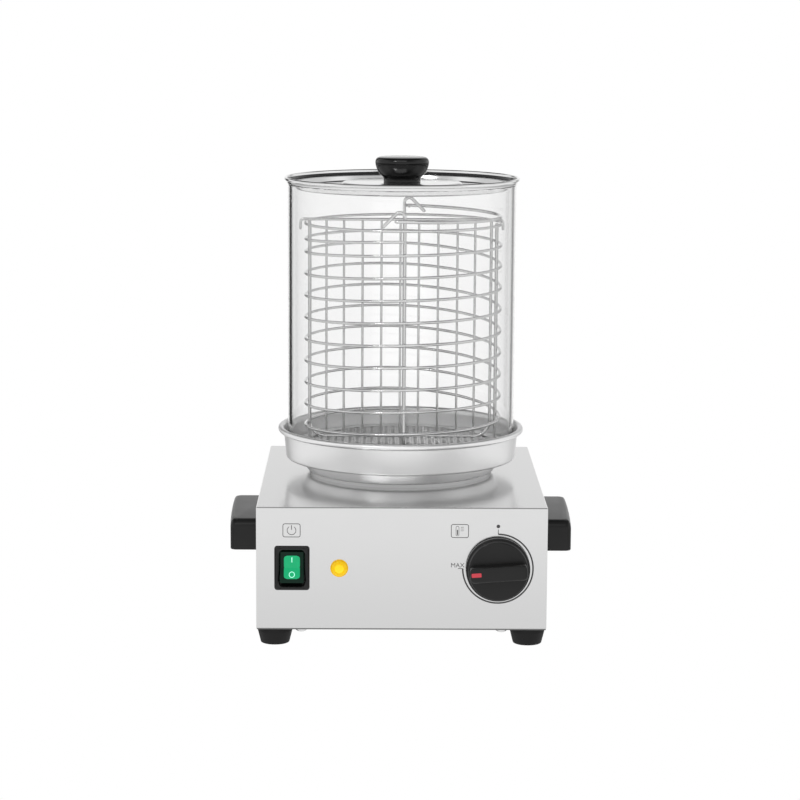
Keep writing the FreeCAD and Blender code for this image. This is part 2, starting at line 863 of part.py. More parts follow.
def make_thermostat_knob(x, z, axis, turn):
    body = new_body("thermostat_knob")
    back = size("knob_stand_off")
    face = back + size("knob_height")
    root = size("grip_root")
    bore = size("shaft_radius") + size("shaft_fit")
    bore_end = back + size("shaft_engagement")
    revolve(body, "knob_profile", (
        (ZERO, bore_end),
        (bore, bore_end),
        (bore, back),
        (size("knob_radius"), back),
        (size("knob_radius"), back + size("knob_skirt")),
        (size("knob_face_radius"), back + size("knob_skirt")),
        (size("knob_face_radius"), face),
        (ZERO, face),
    ))
    grip = box_outline(new_sketch(body, "knob_grip", offset=face - root),
                       size("knob_face_radius") * 2 - size("grip_edge_radius"), size("grip_width"),
                       rounding=size("grip_corner_radius"))
    bar = pad(body, grip, size("grip_height") + root)
    ease_edges(body, bar, size("grip_edge_radius"), at_level(face + size("grip_height")))
    place(body, x, -half_depth, z, axis, turn)
    setting = Rotation(Vector(0, 0, 1), SIZES["knob_setting"])
    body.Placement = Placement(body.Placement.Base, Rotation(axis, turn).multiply(setting))


def make_hot_plate():
    body = new_body("hot_plate")
    under = top_level - size("plate_plug_depth")
    revolve(body, "plate_profile", (
        (ZERO, under),
        (size("plate_plug_radius"), under),
        (size("plate_plug_radius"), top_level),
        (size("plate_radius"), top_level),
        (size("plate_radius"), pan_level),
        (ZERO, pan_level),
    ))
    place(body, ZERO, axis_y, ZERO)
    ring_z = under - size("element_height")
    heater = doc.addObject("Part::Box", "heater_plate")
    bind(heater, "Length", size("element_width"))
    bind(heater, "Width", size("element_width"))
    bind(heater, "Height", size("element_height"))
    place(heater, size("element_width") * -0.5, axis_y - size("element_width") / 2, ring_z)
    clear = (size("clamp_stud_radius") + size("screw_clearance")) / math.cos(math.pi / SIZES["hole_sides"])
    hole = rod("heater_hole", SIZES["hole_sides"], clear, size("element_height"), ZERO, axis_y, ring_z)
    named(cut("heater_cut", heater, hole), "heating_element")
    bar = doc.addObject("Part::Box", "clamp_bar")
    bind(bar, "Length", size("clamp_length"))
    bind(bar, "Width", size("clamp_width"))
    bind(bar, "Height", size("clamp_thickness"))
    bar_z = ring_z - size("clamp_thickness")
    place(bar, size("clamp_length") * -0.5, axis_y - size("clamp_width") / 2, bar_z)
    hole = rod("clamp_hole", SIZES["hole_sides"], clear, size("clamp_thickness"), ZERO, axis_y, bar_z)
    named(cut("clamp_cut", bar, hole), "element_clamp")
    named(rod("clamp_stud", SIZES["shank_sides"], size("clamp_stud_radius"), size("clamp_stud_length"),
              ZERO, axis_y, under - size("clamp_stud_length")), "clamp_stud")
    named(nut("clamp_nut", size("clamp_nut_radius"), size("clamp_stud_radius") + size("screw_clearance"),
              size("clamp_nut_height"), ZERO, axis_y, bar_z - size("clamp_nut_height")), "clamp_nut")
    named(rod("cutout_case", SIZES["head_sides"], size("cutout_radius"), size("cutout_height"), ZERO,
              axis_y + size("cutout_place"), under - size("cutout_height")), "overheat_cutout")


def make_terminal_block():
    body = new_body("terminal_block")
    x = size("gland_place") - size("block_width") / 2
    y = half_depth - size("block_place")
    plan = box_outline(new_sketch(body, "block_plan", offset=floor_level),
                       size("block_width"), size("block_depth"), x, y)
    pad(body, plan, size("block_height"))
    poles = new_sketch(body, "block_poles", offset=floor_level + size("block_height"))
    for i in (-1, 0, 1):
        box_outline(poles, size("block_pole_width"), size("block_pole_width"),
                    x + size("block_pole_pitch") * i, y)
    pocket(body, poles, size("block_height") / 2)


def make_gland():
    body = new_body("cable_gland")
    flange = many_sided(new_sketch(body, "gland_flange"), size("gland_hex_radius"), 6)
    pad(body, flange, size("gland_hex_length"))
    tail = size("body_sheet") + size("gland_nut_length") + size("gland_tail")
    dome = size("gland_hex_length") + size("gland_dome_length")
    cap = many_sided(new_sketch(body, "gland_cap"), size("gland_dome_radius"), SIZES["head_sides"])
    crown = pad(body, cap, dome)
    ease_edges(body, crown, size("gland_dome_bevel"), at_level(dome))
    thread = many_sided(new_sketch(body, "gland_thread"), size("gland_thread_radius"), SIZES["head_sides"])
    pad(body, thread, tail, back=True)
    bore = round_outline(new_sketch(body, "gland_bore", offset=dome), size("gland_bore_radius"))
    pocket(body, bore, dome + tail + size("cut_overrun"))
    axis, turn = ALONG["backward"]
    place(body, size("gland_place"), half_depth, size("gland_height"), axis, turn)
    block = rod("gland_nut_block", 6, size("gland_hex_radius"), size("gland_nut_length"),
                size("gland_place"), inner_front, size("gland_height"), "forward")
    hole = cylinder("gland_nut_bore", size("gland_thread_radius") + size("gland_thread_clearance"),
                    size("gland_nut_length"), size("gland_place"), inner_front, size("gland_height"),
                    *ALONG["forward"])
    named(cut("gland_nut_solid", block, hole), "gland_nut")


def make_pan():
    body = new_body("water_pan")
    gauge = size("pan_sheet")
    under = ledge_level - gauge
    rim = under + size("pan_rim_height")
    bead = size("bead_radius")
    revolve(body, "pan_profile", (
        (ZERO, pan_level),
        (size("well_radius"), pan_level),
        (size("well_radius"), under),
        (size("pan_ledge_radius") + gauge, under),
        (size("pan_rim_radius") + gauge, rim - bead),
        (size("pan_rim_radius") + bead * 2, rim),
        (size("pan_rim_radius") + bead, rim + bead),
        (size("pan_rim_radius"), rim),
        (size("pan_ledge_radius"), ledge_level),
        (size("well_radius") - gauge, ledge_level),
        (size("well_radius") - gauge, pan_level + gauge),
        (ZERO, pan_level + gauge),
    ))
    place(body, ZERO, axis_y, ZERO)


def make_glass():
    body = new_body("glass_cylinder")
    outer = size("glass_radius")
    inner = outer - size("glass_wall")
    revolve(body, "glass_profile", (
        (inner, ledge_level),
        (outer, ledge_level),
        (outer, glass_top),
        (inner, glass_top),
    ))
    place(body, ZERO, axis_y, ZERO)


def make_sieve():
    body = new_body("sieve_plate")
    outer = size("glass_radius") - size("glass_wall") - size("sieve_gap")
    gauge = size("sieve_sheet")
    revolve(body, "sieve_profile", (
        (ZERO, sieve_level - gauge),
        (outer - gauge, sieve_level - gauge),
        (outer - gauge, ledge_level),
        (outer, ledge_level),
        (outer, sieve_level),
        (ZERO, sieve_level),
    ))
    holes = new_sketch(body, "sieve_holes", offset=sieve_level)
    for ring in (1, 2):
        for i in range(6 * ring):
            angle = 2 * math.pi * (i + 0.5) / (6 * ring)
            reach = size("sieve_ring_pitch") * ring
            many_sided(holes, size("sieve_hole_radius"), 6, reach * math.cos(angle), reach * math.sin(angle))
    pocket(body, holes, gauge * 2)
    place(body, ZERO, axis_y, ZERO)


def wire_route(corners):
    """Straight runs joined by arcs, through corners (point) or (point, bending radius)."""
    edges = []
    start = corners[0][0]
    for before, corner, after in zip(corners, corners[1:], corners[2:]):
        leave, centre, meet = bend(before[0], corner[0], after[0], corner[1])
        middle = centre + (corner[0] - centre).normalize() * corner[1]
        edges.append(Part.makeLine(start, leave))
        edges.append(Part.Arc(leave, middle, meet).toShape())
        start = meet
    edges.append(Part.makeLine(start, corners[-1][0]))
    return Part.Wire(edges)


def wire_section(spot, way, radius, sides=6):
    """A many-sided section of a wire, square to its way."""
    across = way.cross(Vector(0, 0, 1) if abs(way.z) < 0.9 * way.Length else Vector(1, 0, 0)).normalize()
    other = way.cross(across).normalize()
    points = []
    for i in range(sides + 1):
        angle = 2 * math.pi * (i % sides + 0.5) / sides
        points.append(spot + across * (radius * math.cos(angle)) + other * (radius * math.sin(angle)))
    return Part.makePolygon(points)


def bent_wire(corners, radius):
    """A bent wire as one solid."""
    route = wire_route(corners)
    first = route.Edges[0]
    section = wire_section(first.Vertexes[0].Point, corners[1][0] - corners[0][0], radius)
    return route.makePipeShell([section], True, False)


def straight_wire(start, end, radius):
    """A straight wire as one solid."""
    return Part.Face(wire_section(start, end - start, radius)).extrude(end - start)


def add_shape(name, shape):
    """A piece whose bends leave one plane, so that no sketch can carry it."""
    feature = doc.addObject("Part::Feature", name)
    feature.Shape = shape
    return place(named(feature, name), ZERO, axis_y, ZERO)


def mitred_sections(route, radius, sides=6):
    """The sections of a bent wire, each on the plane that halves the angle of its joint."""
    ways = [(after - before).normalize() for before, after in zip(route, route[1:])]
    closed = route[0].distanceToPoint(route[-1]) < TOUCH
    first = (ways[0] + ways[-1]).normalize() if closed else ways[0]
    corners = [vertex.Point for vertex in wire_section(route[0], ways[0], radius, sides).OrderedVertexes]
    corners = [corner + ways[0] * ((route[0] - corner).dot(first) / ways[0].dot(first)) for corner in corners]
    sections = [corners]
    for i, spot in enumerate(route[1:]):
        way = ways[i]
        if i + 1 < len(ways):
            square = (way + ways[i + 1]).normalize()
        else:
            square = first if closed else way
        corners = [corner + way * ((spot - corner).dot(square) / way.dot(square)) for corner in corners]
        sections.append(corners)
    return [Part.makePolygon(corners + corners[:1]) for corners in sections]


def mitred_wire(route, radius):
    """A wire of short straight runs as one solid."""
    return Part.makeLoft(mitred_sections(route, radius), True, True)


def wire_lengths(route, radius, each):
    """A long wire as short lengths end to end, which keep the space inside its turns open."""
    sections = mitred_sections(route, radius)
    return [Part.makeLoft(sections[i:i + each + 1], True, True) for i in range(0, len(sections) - 1, each)]


def arc_points(radius, start, end, steps):
    """Points on a level arc round the upright axis, its angles in turns."""
    points = []
    for i in range(steps + 1):
        angle = 2 * math.pi * (start + (end - start) * i / steps)
        points.append(Vector(radius * math.cos(angle), radius * math.sin(angle), 0))
    return points


def make_top_ring():
    steps = SIZES["coil_steps"]
    level = Vector(0, 0, float(ring_level))
    radius = float(size("coil_radius"))
    halves = []
    for start in (0, 0.5):
        route = [point + level for point in arc_points(radius, start, start + 0.5, steps // 2)]
        halves.append(mitred_wire(route, float(size("coil_wire"))))
    add_shape("basket_top_ring", halves[0].fuse(halves[1]).removeSplitter())


def coil_drop(turns):
    """How far the coil has come down after a number of turns."""
    first = float(size("coil_first_pitch"))
    pitch = float(size("coil_pitch"))
    last = float(size("coil_last_pitch"))
    whole = SIZES["coil_turns"]
    if turns <= 1:
        return first * turns
    if turns <= 1 + whole:
        return first + pitch * (turns - 1)
    return first + pitch * whole + last * (turns - 1 - whole) / 2


def make_coil():
    steps = SIZES["coil_steps"]
    count = int(steps * (SIZES["coil_turns"] + 1.75))
    radius = float(size("coil_radius"))
    wire = float(size("coil_wire"))
    tilt = float(size("coil_tilt")) / radius
    top = float(ring_level - size("coil_start_drop"))
    route = []
    for i in range(count + 1):
        angle = -math.pi / 2 + 2 * math.pi * i / steps
        x = radius * math.cos(angle)
        y = radius * math.sin(angle)
        route.append(Vector(x, y, top - coil_drop(i / steps) + tilt * (y + radius) / 2))
    each = SIZES["coil_length_steps"]
    lengths = wire_lengths(route, wire, each)
    add_shape("basket_coil", Part.makeCompound(lengths))


def make_posts():
    radius = float(size("post_wire"))
    x = float(size("post_offset"))
    y = float(post_radius)
    floor = float(sieve_level + size("post_wire"))
    shoulder = float(ring_level + size("hook_shoulder"))
    apex = float(ring_level + size("hook_rise"))
    end = float(ring_level + size("hook_end_rise"))
    bend_radius = float(size("post_corner_radius"))
    small = float(size("hook_apex_radius"))
    lean = float(size("hook_apex_reach"))
    reach = float(size("hook_reach"))
    route = (
        (Vector(x - reach, -y, end),),
        (Vector(x - lean, -y, apex), small),
        (Vector(x, -y, shoulder), small * 2),
        (Vector(x, -y, floor), bend_radius),
        (Vector(x, y, floor), bend_radius),
        (Vector(x, y, shoulder), small * 2),
        (Vector(x + lean, y, apex), small),
        (Vector(x + reach, y, end),),
    )
    add_shape("basket_posts", bent_wire(route, radius))


def make_side_posts():
    body = doc.addObject("Part::Compound", "basket_side_posts")
    posts = []
    for side in BOTH:
        low = sieve_level + size("post_wire")
        posts.append(rod(f"side_post_{side + 1}", SIZES["shank_sides"], size("post_wire"), ring_level - low,
                         post_radius * side, axis_y, low))
    body.Links = posts
    named(body, "basket_side_posts")


def make_divider():
    radius = float(size("post_wire"))
    pitch = float(size("grid_pitch"))
    count = SIZES["grid_count"]
    half = pitch * (count - 1) / 2
    low = float(sieve_level + size("post_wire") * 3 + size("weld_gap"))
    high = float(ring_level + size("coil_wire") + size("post_wire"))
    corner = float(size("grid_corner_radius"))
    outer = float(size("coil_radius") + size("coil_wire") + size("post_wire") + size("weld_gap"))
    drop = float(size("grid_end_drop"))
    frame = bent_wire((
        (Vector(-half, 0, high),),
        (Vector(-half, 0, low), corner),
        (Vector(half, 0, low), corner),
        (Vector(half, 0, high),),
    ), radius)
    top = bent_wire((
        (Vector(-outer, 0, high - drop),),
        (Vector(-outer, 0, high), float(size("grid_end_radius"))),
        (Vector(outer, 0, high), float(size("grid_end_radius"))),
        (Vector(outer, 0, high - drop),),
    ), radius)
    bars = []
    for i in range(1, count - 1):
        x = pitch * i - half
        bars.append(straight_wire(Vector(x, 0, low), Vector(x, 0, high), float(size("grid_wire"))))
    add_shape("basket_divider", frame.fuse([top] + bars))


def make_bail():
    wire = float(size("post_wire"))
    radius = float(size("bail_radius"))
    corner = float(size("bail_corner_radius"))
    pin = float(size("bail_pin_length"))
    steps = SIZES["coil_steps"]
    shift = Vector(corner, 0, 0)
    route = [Vector(0, pin - radius, 0), Vector(0, corner - radius, 0)]
    route += [point + shift for point in arc_points(radius, -0.25, 0.25, steps)]
    route += [Vector(0, radius - corner, 0), Vector(0, radius - pin, 0)]
    shape = mitred_wire(route, wire)
    head = float(size("bail_head_radius"))
    heads = []
    for end in BOTH:
        inner = Vector(0, (radius - pin) * end, 0)
        section = wire_section(inner, Vector(0, end, 0), head)
        heads.append(Part.Face(section).extrude(Vector(0, -end * wire, 0)))
    feature = doc.addObject("Part::Feature", "basket_bail")
    feature.Shape = shape.fuse(heads)
    named(feature, "basket_bail")
    skew = -math.degrees(math.atan2(float(size("hook_pin_reach")), float(post_radius)))
    rest = float(ring_level + size("coil_wire") + size("post_wire") * 3 + size("bail_rest_gap"))
    pivot = ring_level + size("bail_pivot_rise")
    fall = math.degrees(math.asin((float(pivot) - rest) / radius))
    turn = Rotation(Vector(0, 0, 1), skew).multiply(Rotation(Vector(0, 1, 0), fall))
    place(feature, size("post_offset"), axis_y, pivot)
    feature.Placement = Placement(feature.Placement.Base, turn)
    print("bail skew and fall", round(skew, 4), round(fall, 4), "pivot", round(float(pivot), 3))


def make_lid():
    body = new_body("lid")
    gauge = size("lid_sheet")
    drop = size("glass_radius") - size("glass_wall") - size("lid_fit")
    floor = glass_top + gauge - size("lid_dish_depth")
    plateau = floor + size("plateau_rise")
    rim = glass_top + size("lid_rim_rise")
    edge = size("lid_radius") - size("lid_bead_radius") * 2
    bead = size("lid_bead_radius")
    revolve(body, "lid_profile", (
        (ZERO, plateau - gauge),
        (size("plateau_radius"), plateau - gauge),
        (size("plateau_foot_radius"), floor - gauge),
        (drop, floor - gauge),
        (drop, glass_top),
        (edge + bead, glass_top),
        (size("lid_radius"), rim),
        (edge + bead, rim + bead),
        (edge - gauge, glass_top + gauge),
        (drop - gauge, glass_top + gauge),
        (drop - gauge, floor),
        (size("plateau_foot_radius") + gauge / 2, floor),
        (size("plateau_radius") + gauge / 2, plateau),
        (ZERO, plateau),
    ))
    hole = round_outline(new_sketch(body, "lid_hole", offset=plateau), size("lid_screw_radius")
                         + size("screw_clearance"))
    pocket(body, hole, gauge * 2)
    place(body, ZERO, axis_y, ZERO)
    make_lid_knob(plateau)
    head_z = plateau - gauge - size("lid_screw_head_height")
    head = rod("lid_screw_head", SIZES["head_sides"], size("lid_screw_head_radius"),
               size("lid_screw_head_height"), ZERO, axis_y, head_z)
    shank = rod("lid_screw_shank", SIZES["shank_sides"], size("lid_screw_radius"),
                gauge + size("lid_screw_depth") - size("screw_clearance"), ZERO, axis_y, plateau - gauge)
    named(joined("lid_screw", head, shank), "lid_knob_screw")


def make_lid_knob(level):
    body = new_body("lid_knob")
    top = level + size("lid_knob_height")
    bore = size("lid_screw_radius") + size("screw_clearance")
    inset = size("lid_knob_inset")
    revolve(body, "lid_knob_profile", (
        (ZERO, level + size("lid_screw_depth")),
        (bore, level + size("lid_screw_depth")),
        (bore, level),
        (size("lid_knob_neck_radius"), level),
        (size("lid_knob_neck_radius"), level + size("lid_knob_neck_height")),
        (size("lid_knob_radius"), top - size("lid_knob_head_height")),
        (size("lid_knob_radius"), top - inset * 2),
        (size("lid_knob_top_radius"), top),
        (ZERO, top),
    ))
    place(body, ZERO, axis_y, ZERO)


make_housing()
make_base_plate()
make_feet()
make_base_screws()
make_handle("handle_left", -1)
make_handle("handle_right", 1)
make_handle_screws()
make_switch()
make_lamp()
make_thermostat()
make_hot_plate()
make_terminal_block()
make_gland()
make_pan()
make_glass()
make_sieve()
make_top_ring()
make_coil()
make_posts()
make_side_posts()
make_divider()
make_bail()
make_lid()

doc.recompute()
for thing in doc.Objects:
    faults = [word for word in thing.State if word in ("Invalid", "Error")]
    if faults:
        raise RuntimeError(f"{thing.Name} is {faults}")
os.makedirs("parts", exist_ok=True)
for piece in pieces:
    shape = piece.Shape
    if shape.isNull() or not shape.isValid():
        raise RuntimeError(f"{piece.Label} has no valid shape")
    box = shape.BoundBox
    print(f"{piece.Label}: {box.XLength:.1f} x {box.YLength:.1f} x {box.ZLength:.1f},"
          f" {len(shape.Solids)} solid, {shape.Volume:.0f} mm3")
    shape.exportStep(f"parts/{piece.Label}.step")
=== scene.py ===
import json
import math

import bmesh
import bpy
from mathutils import Matrix, Vector

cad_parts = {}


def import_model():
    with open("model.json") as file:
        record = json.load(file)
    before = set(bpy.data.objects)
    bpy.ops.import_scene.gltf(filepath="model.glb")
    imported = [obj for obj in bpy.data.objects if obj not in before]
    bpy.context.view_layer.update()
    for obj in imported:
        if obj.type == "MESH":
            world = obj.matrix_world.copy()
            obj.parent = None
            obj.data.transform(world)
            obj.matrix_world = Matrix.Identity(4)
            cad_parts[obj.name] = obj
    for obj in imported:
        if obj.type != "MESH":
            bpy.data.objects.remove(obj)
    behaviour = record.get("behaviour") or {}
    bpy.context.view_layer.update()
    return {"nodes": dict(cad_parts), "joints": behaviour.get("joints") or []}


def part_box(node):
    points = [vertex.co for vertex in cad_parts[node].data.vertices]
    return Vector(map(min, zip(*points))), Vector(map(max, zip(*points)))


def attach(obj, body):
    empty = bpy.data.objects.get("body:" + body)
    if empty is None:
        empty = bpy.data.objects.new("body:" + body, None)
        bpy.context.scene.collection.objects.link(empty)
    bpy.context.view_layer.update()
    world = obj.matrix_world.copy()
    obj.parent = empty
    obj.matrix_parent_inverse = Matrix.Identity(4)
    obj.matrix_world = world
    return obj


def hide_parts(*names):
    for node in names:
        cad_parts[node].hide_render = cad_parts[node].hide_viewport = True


# Countertop hot dog steamer, in metres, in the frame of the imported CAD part.
# The smooth round pieces and the wires are drawn here round the frame's own boxes.

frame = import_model()
nodes = frame["nodes"]

MM = 0.001
QUARTER = math.pi / 2
TURN = 2 * math.pi
TINY = 1e-7
SEGMENTS = 160
FORWARD = Matrix.Rotation(QUARTER, 4, "X")


def low(node):
    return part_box(node)[0]


def high(node):
    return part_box(node)[1]


def middle(node):
    return (low(node) + high(node)) / 2


def pivot_of(name):
    """The place and the axis of a joint of the frame."""
    joint = next(joint for joint in frame["joints"] if joint["name"] == name)
    return Vector(joint["pos_m"]), Vector(joint["axis"])


# Places and levels read from the frame.
AXIS = Vector((0, middle("glass_cylinder").y, 0))
FRONT = low("housing").y
PAN_FLOOR = low("water_pan").z
LEDGE = low("glass_cylinder").z
GLASS_TOP = high("glass_cylinder").z
GLASS_RADIUS = high("glass_cylinder").x
SIEVE_TOP = high("sieve_plate").z
RING_LEVEL = middle("basket_top_ring").z
CONTROL_HEIGHT = middle("thermostat_knob").z

# The basket's wires. It stands a little to the right of the glass's axis.
COIL_WIRE = 1.25 * MM
POST_WIRE = 1.5 * MM
COIL_RADIUS = high("basket_top_ring").x - 0.45 * MM
POST_RADIUS = high("basket_side_posts").x - POST_WIRE
BASKET = AXIS + Vector((1.4 * MM, 0, 0))


# Node trees, for the materials and for what repeats.

class Value:
    """A socket that is worked with like a number."""

    def __init__(self, graph, socket):
        self.graph = graph
        self.socket = socket

    def __add__(self, other):
        return self.graph.maths("ADD", self, other)

    def __sub__(self, other):
        return self.graph.maths("SUBTRACT", self, other)

    def __rsub__(self, other):
        return self.graph.maths("SUBTRACT", other, self)

    def __mul__(self, other):
        return self.graph.maths("MULTIPLY", self, other)

    __radd__ = __add__
    __rmul__ = __mul__

    def __neg__(self):
        return 0 - self

    def __abs__(self):
        return self.graph.maths("ABSOLUTE", self)

    def smooth(self, start, end):
        """0 below start and 1 above end, with a soft step between."""
        sockets = {"Value": self, "From Min": start, "From Max": end}
        return self.graph.value("ShaderNodeMapRange", sockets, "Result", interpolation_type="SMOOTHSTEP")


class Graph:
    """A node tree and the sums that are worked out in it."""

    def __init__(self, tree):
        self.tree = tree

    def node(self, kind, sockets=None, **settings):
        """A new node: its settings are set first, and then the values or links of its sockets."""
        made = self.tree.nodes.new(kind)
        for word, setting in settings.items():
            setattr(made, word, setting)
        for word, source in (sockets or {}).items():
            self.join(source, made.inputs[word])
        return made

    def value(self, kind, sockets=None, output=0, **settings):
        """One output of a new node."""
        return Value(self, self.node(kind, sockets, **settings).outputs[output])

    def join(self, source, target):
        if isinstance(source, Value):
            self.tree.links.new(source.socket, target)
        else:
            target.default_value = source

    def maths(self, operation, first, second=0.0):
        return self.value("ShaderNodeMath", {0: first, 1: second}, operation=operation)

    def axes(self, vector):
        """The three numbers of a vector."""
        split = self.node("ShaderNodeSeparateXYZ", {"Vector": vector})
        return [Value(self, split.outputs[word]) for word in "XYZ"]

    def blend(self, factor, first, second):
        """A colour between two, by the factor."""
        first, second = [end if isinstance(end, Value) else (*end, 1) for end in (first, second)]
        sockets = {"Factor": factor, "A": first, "B": second}
        return self.value("ShaderNodeMix", sockets, "Result", data_type="RGBA")


class Surface(Graph):
    """A material's node tree, with one main shader."""

    def __init__(self, name, **constants):
        self.material = bpy.data.materials.new(name)
        self.material.use_nodes = True
        super().__init__(self.material.node_tree)
        self.shader = self.tree.nodes["Principled BSDF"]
        for word, value in constants.items():
            self.set(word.replace("_", " "), value)

    def set(self, word, value):
        self.join(value, self.shader.inputs[word])

    def place(self, scale=(1, 1, 1)):
        """Object coordinates, stretched by a scale."""
        spot = self.value("ShaderNodeTexCoord", output="Object")
        return self.value("ShaderNodeMapping", {"Vector": spot, "Scale": scale}, "Vector")

    def noise(self, size, stretch=(1, 1, 1), detail=4.0):
        """Noise whose grain is about the given size in metres."""
        spot = self.place(tuple(part / size for part in stretch))
        sockets = {"Vector": spot, "Scale": 1, "Detail": detail, "Roughness": 0.5}
        return self.value("ShaderNodeTexNoise", sockets, "Fac")

    def bump(self, heights, distance, strength):
        sockets = {"Height": heights, "Distance": distance, "Strength": strength}
        self.set("Normal", self.value("ShaderNodeBump", sockets, "Normal"))


class Layout(Graph):
    """A geometry node tree that makes a mesh from a simpler one, with named inputs for its sizes."""

    def __init__(self, name, **sizes):
        super().__init__(bpy.data.node_groups.new(name, "GeometryNodeTree"))
        self.sizes = sizes
        self.add_socket("Piece", "INPUT", "Geometry")
        for word, size in sizes.items():
            self.add_socket(word, "INPUT", "Int" if isinstance(size, int) else "Float")
        self.add_socket("Material", "INPUT", "Material")
        self.add_socket("Result", "OUTPUT", "Geometry")
        self.given = self.node("NodeGroupInput")

    def add_socket(self, word, way, kind):
        self.tree.interface.new_socket(word, in_out=way, socket_type="NodeSocket" + kind)

    def size(self, word):
        return Value(self, self.given.outputs[word])

    def grid(self, width, depth, columns, rows):
        """The points of a level grid round the origin."""
        sockets = {"Size X": width, "Size Y": depth, "Vertices X": columns, "Vertices Y": rows}
        return self.value("GeometryNodeMeshGrid", sockets, "Mesh")

    def copies(self, points, piece, material):
        """A copy of a piece's mesh on each point."""
        sockets = {"Points": points, "Instance": self.size("Piece")}
        return self.drawn(self.value("GeometryNodeInstanceOnPoints", sockets), piece, material)

    def drawn(self, result, piece, material):
        """Ends the tree with its result, and gives the plain mesh that it makes from a piece's mesh."""
        realized = self.value("GeometryNodeRealizeInstances", {"Geometry": result})
        sockets = {"Geometry": realized, "Material": self.size("Material")}
        self.node("NodeGroupOutput", {"Result": self.value("GeometryNodeSetMaterial", sockets)})
        holder = bpy.data.objects.new(piece.name, piece)
        bpy.context.scene.collection.objects.link(holder)
        modifier = holder.modifiers.new("layout", "NODES")
        modifier.node_group = self.tree
        inputs = {"Material": material, **self.sizes}
        for socket in self.tree.interface.items_tree:
            if socket.name in inputs:
                modifier[socket.identifier] = inputs[socket.name]
        evaluated = holder.evaluated_get(bpy.context.evaluated_depsgraph_get())
        mesh = bpy.data.meshes.new_from_object(evaluated)
        holder.modifiers.remove(modifier)
        bpy.data.objects.remove(holder)
        bpy.data.meshes.remove(piece)
        return mesh


# Materials: each one is a node graph with a procedural pattern.

def grey(level):
    return level, level, level


def lighter(colour, times, more=0.0):
    return tuple(min(1, part * times + more) for part in colour)


def steel(name, bright, dark, roughness, grain, stretch=(1, 1, 1), lower_painted_shade=None):
    """Stainless sheet or wire with a fine grain in colour, gloss and relief.

    Sheet can be given painted shade in its low part: its colour darkens towards the bottom, standing in for
    the light that falls off there."""
    patch = 50 * MM
    spread = 0.04
    painted_shade_top = 120 * MM
    relief = 0.02 * MM
    graph = Surface(name, Metallic=1.0)
    fine = graph.noise(grain, stretch)
    broad = graph.noise(patch, detail=2.0)
    colour = graph.blend(fine * 0.6 + broad * 0.4, dark, bright)
    # Painted shade: the colour darkens towards the bottom of the sheet.
    if lower_painted_shade:
        height = graph.axes(graph.place())[2]
        colour = graph.blend(height.smooth(0.0, painted_shade_top), lower_painted_shade, colour)
    graph.set("Base Color", colour)
    graph.set("Roughness", fine * spread + broad * spread + (roughness - spread))
    graph.bump(fine, relief, 0.25)
    return graph.material


def plastic(name, colour, roughness, grain=0.6 * MM, relief=0.03 * MM, gloss=0.5):
    """Moulded plastic with a fine texture."""
    patch = 30 * MM
    fine_spread = 0.08
    broad_spread = 0.06
    graph = Surface(name, Specular_IOR_Level=gloss)
    fine = graph.noise(grain)
    broad = graph.noise(patch, detail=2.0)
    base = roughness - (fine_spread + broad_spread) / 2
    graph.set("Base Color", graph.blend(broad, colour, lighter(colour, 1.35, 0.003)))
    graph.set("Roughness", fine * fine_spread + broad * broad_spread + base)
    graph.bump(fine, relief, 0.3)
    return graph.material


def clear_glass():
    """Clear glass with a faint unevenness from drawing."""
    wave = 120 * MM
    graph = Surface("drawn clear glass", Transmission_Weight=1.0, IOR=1.47)
    waves = graph.noise(wave, (1, 1, 0.3), detail=1.0)
    graph.set("Base Color", graph.blend(waves, grey(0.99), grey(0.998)))
    graph.set("Roughness", waves * 0.004)
    return graph.material


def glowing(name, colour, light, strength):
    """Coloured plastic lit from inside."""
    patch = 6 * MM
    graph = Surface(name, Coat_Weight=0.1, Specular_IOR_Level=0.3, Emission_Strength=strength)
    broad = graph.noise(patch, detail=2.0)
    graph.set("Base Color", graph.blend(broad, colour, lighter(colour, 1.3)))
    graph.set("Emission Color", graph.blend(broad, light, lighter(light, 1.15)))
    graph.set("Roughness", broad * 0.06 + 0.12)
    return graph.material


# A grain drawn out along x by brushing, or round the axis by spinning.
BRUSHED = (0.05, 1, 1)
SPUN = (0.1, 0.1, 1)
PRESSED = (1, 0.1, 1)

# The housing sheet carries painted shade: its colour is darker towards the bottom.
SHEET_STEEL = steel("satin sheet steel", grey(0.78), grey(0.74), 0.16, 1.2 * MM, BRUSHED,
                    lower_painted_shade=grey(0.66))
# Painted shade: the base sheet is made dark so that its thin front edge under the housing reads as a shaded
# seam.
BASE_SHEET_PAINTED_SHADE = steel("dull base sheet", grey(0.20), grey(0.16), 0.4, 1.2 * MM, BRUSHED)
PAN_STEEL = steel("spun satin steel", grey(0.99), grey(0.96), 0.40, 1.2 * MM, SPUN)
LID_STEEL = steel("polished lid steel", grey(0.84), grey(0.78), 0.14, 1.2 * MM, SPUN)
WIRE_STEEL = steel("bright drawn wire", grey(0.82), grey(0.66), 0.15, 0.8 * MM)
SIEVE_STEEL = steel("perforated sheet steel", grey(0.78), grey(0.70), 0.24, 1.2 * MM, PRESSED)
FASTENER_STEEL = steel("screw steel", grey(0.74), grey(0.62), 0.26, 0.6 * MM)
PLATE_METAL = steel("machined hot plate", grey(0.60), grey(0.50), 0.4, 1 * MM)
BRASS = steel("terminal brass", (0.80, 0.62, 0.30), (0.70, 0.52, 0.24), 0.3, 0.6 * MM)
IRON = plastic("heater iron", grey(0.10), 0.7)
BLACK_PLASTIC = plastic("moulded black plastic", grey(0.012), 0.30, gloss=0.22)
GLOSS_BLACK = plastic("glossy black plastic", grey(0.005), 0.11, relief=0.01 * MM, gloss=0.35)
RUBBER = plastic("black rubber", grey(0.010), 0.55, 1 * MM, 0.06 * MM, gloss=0.15)
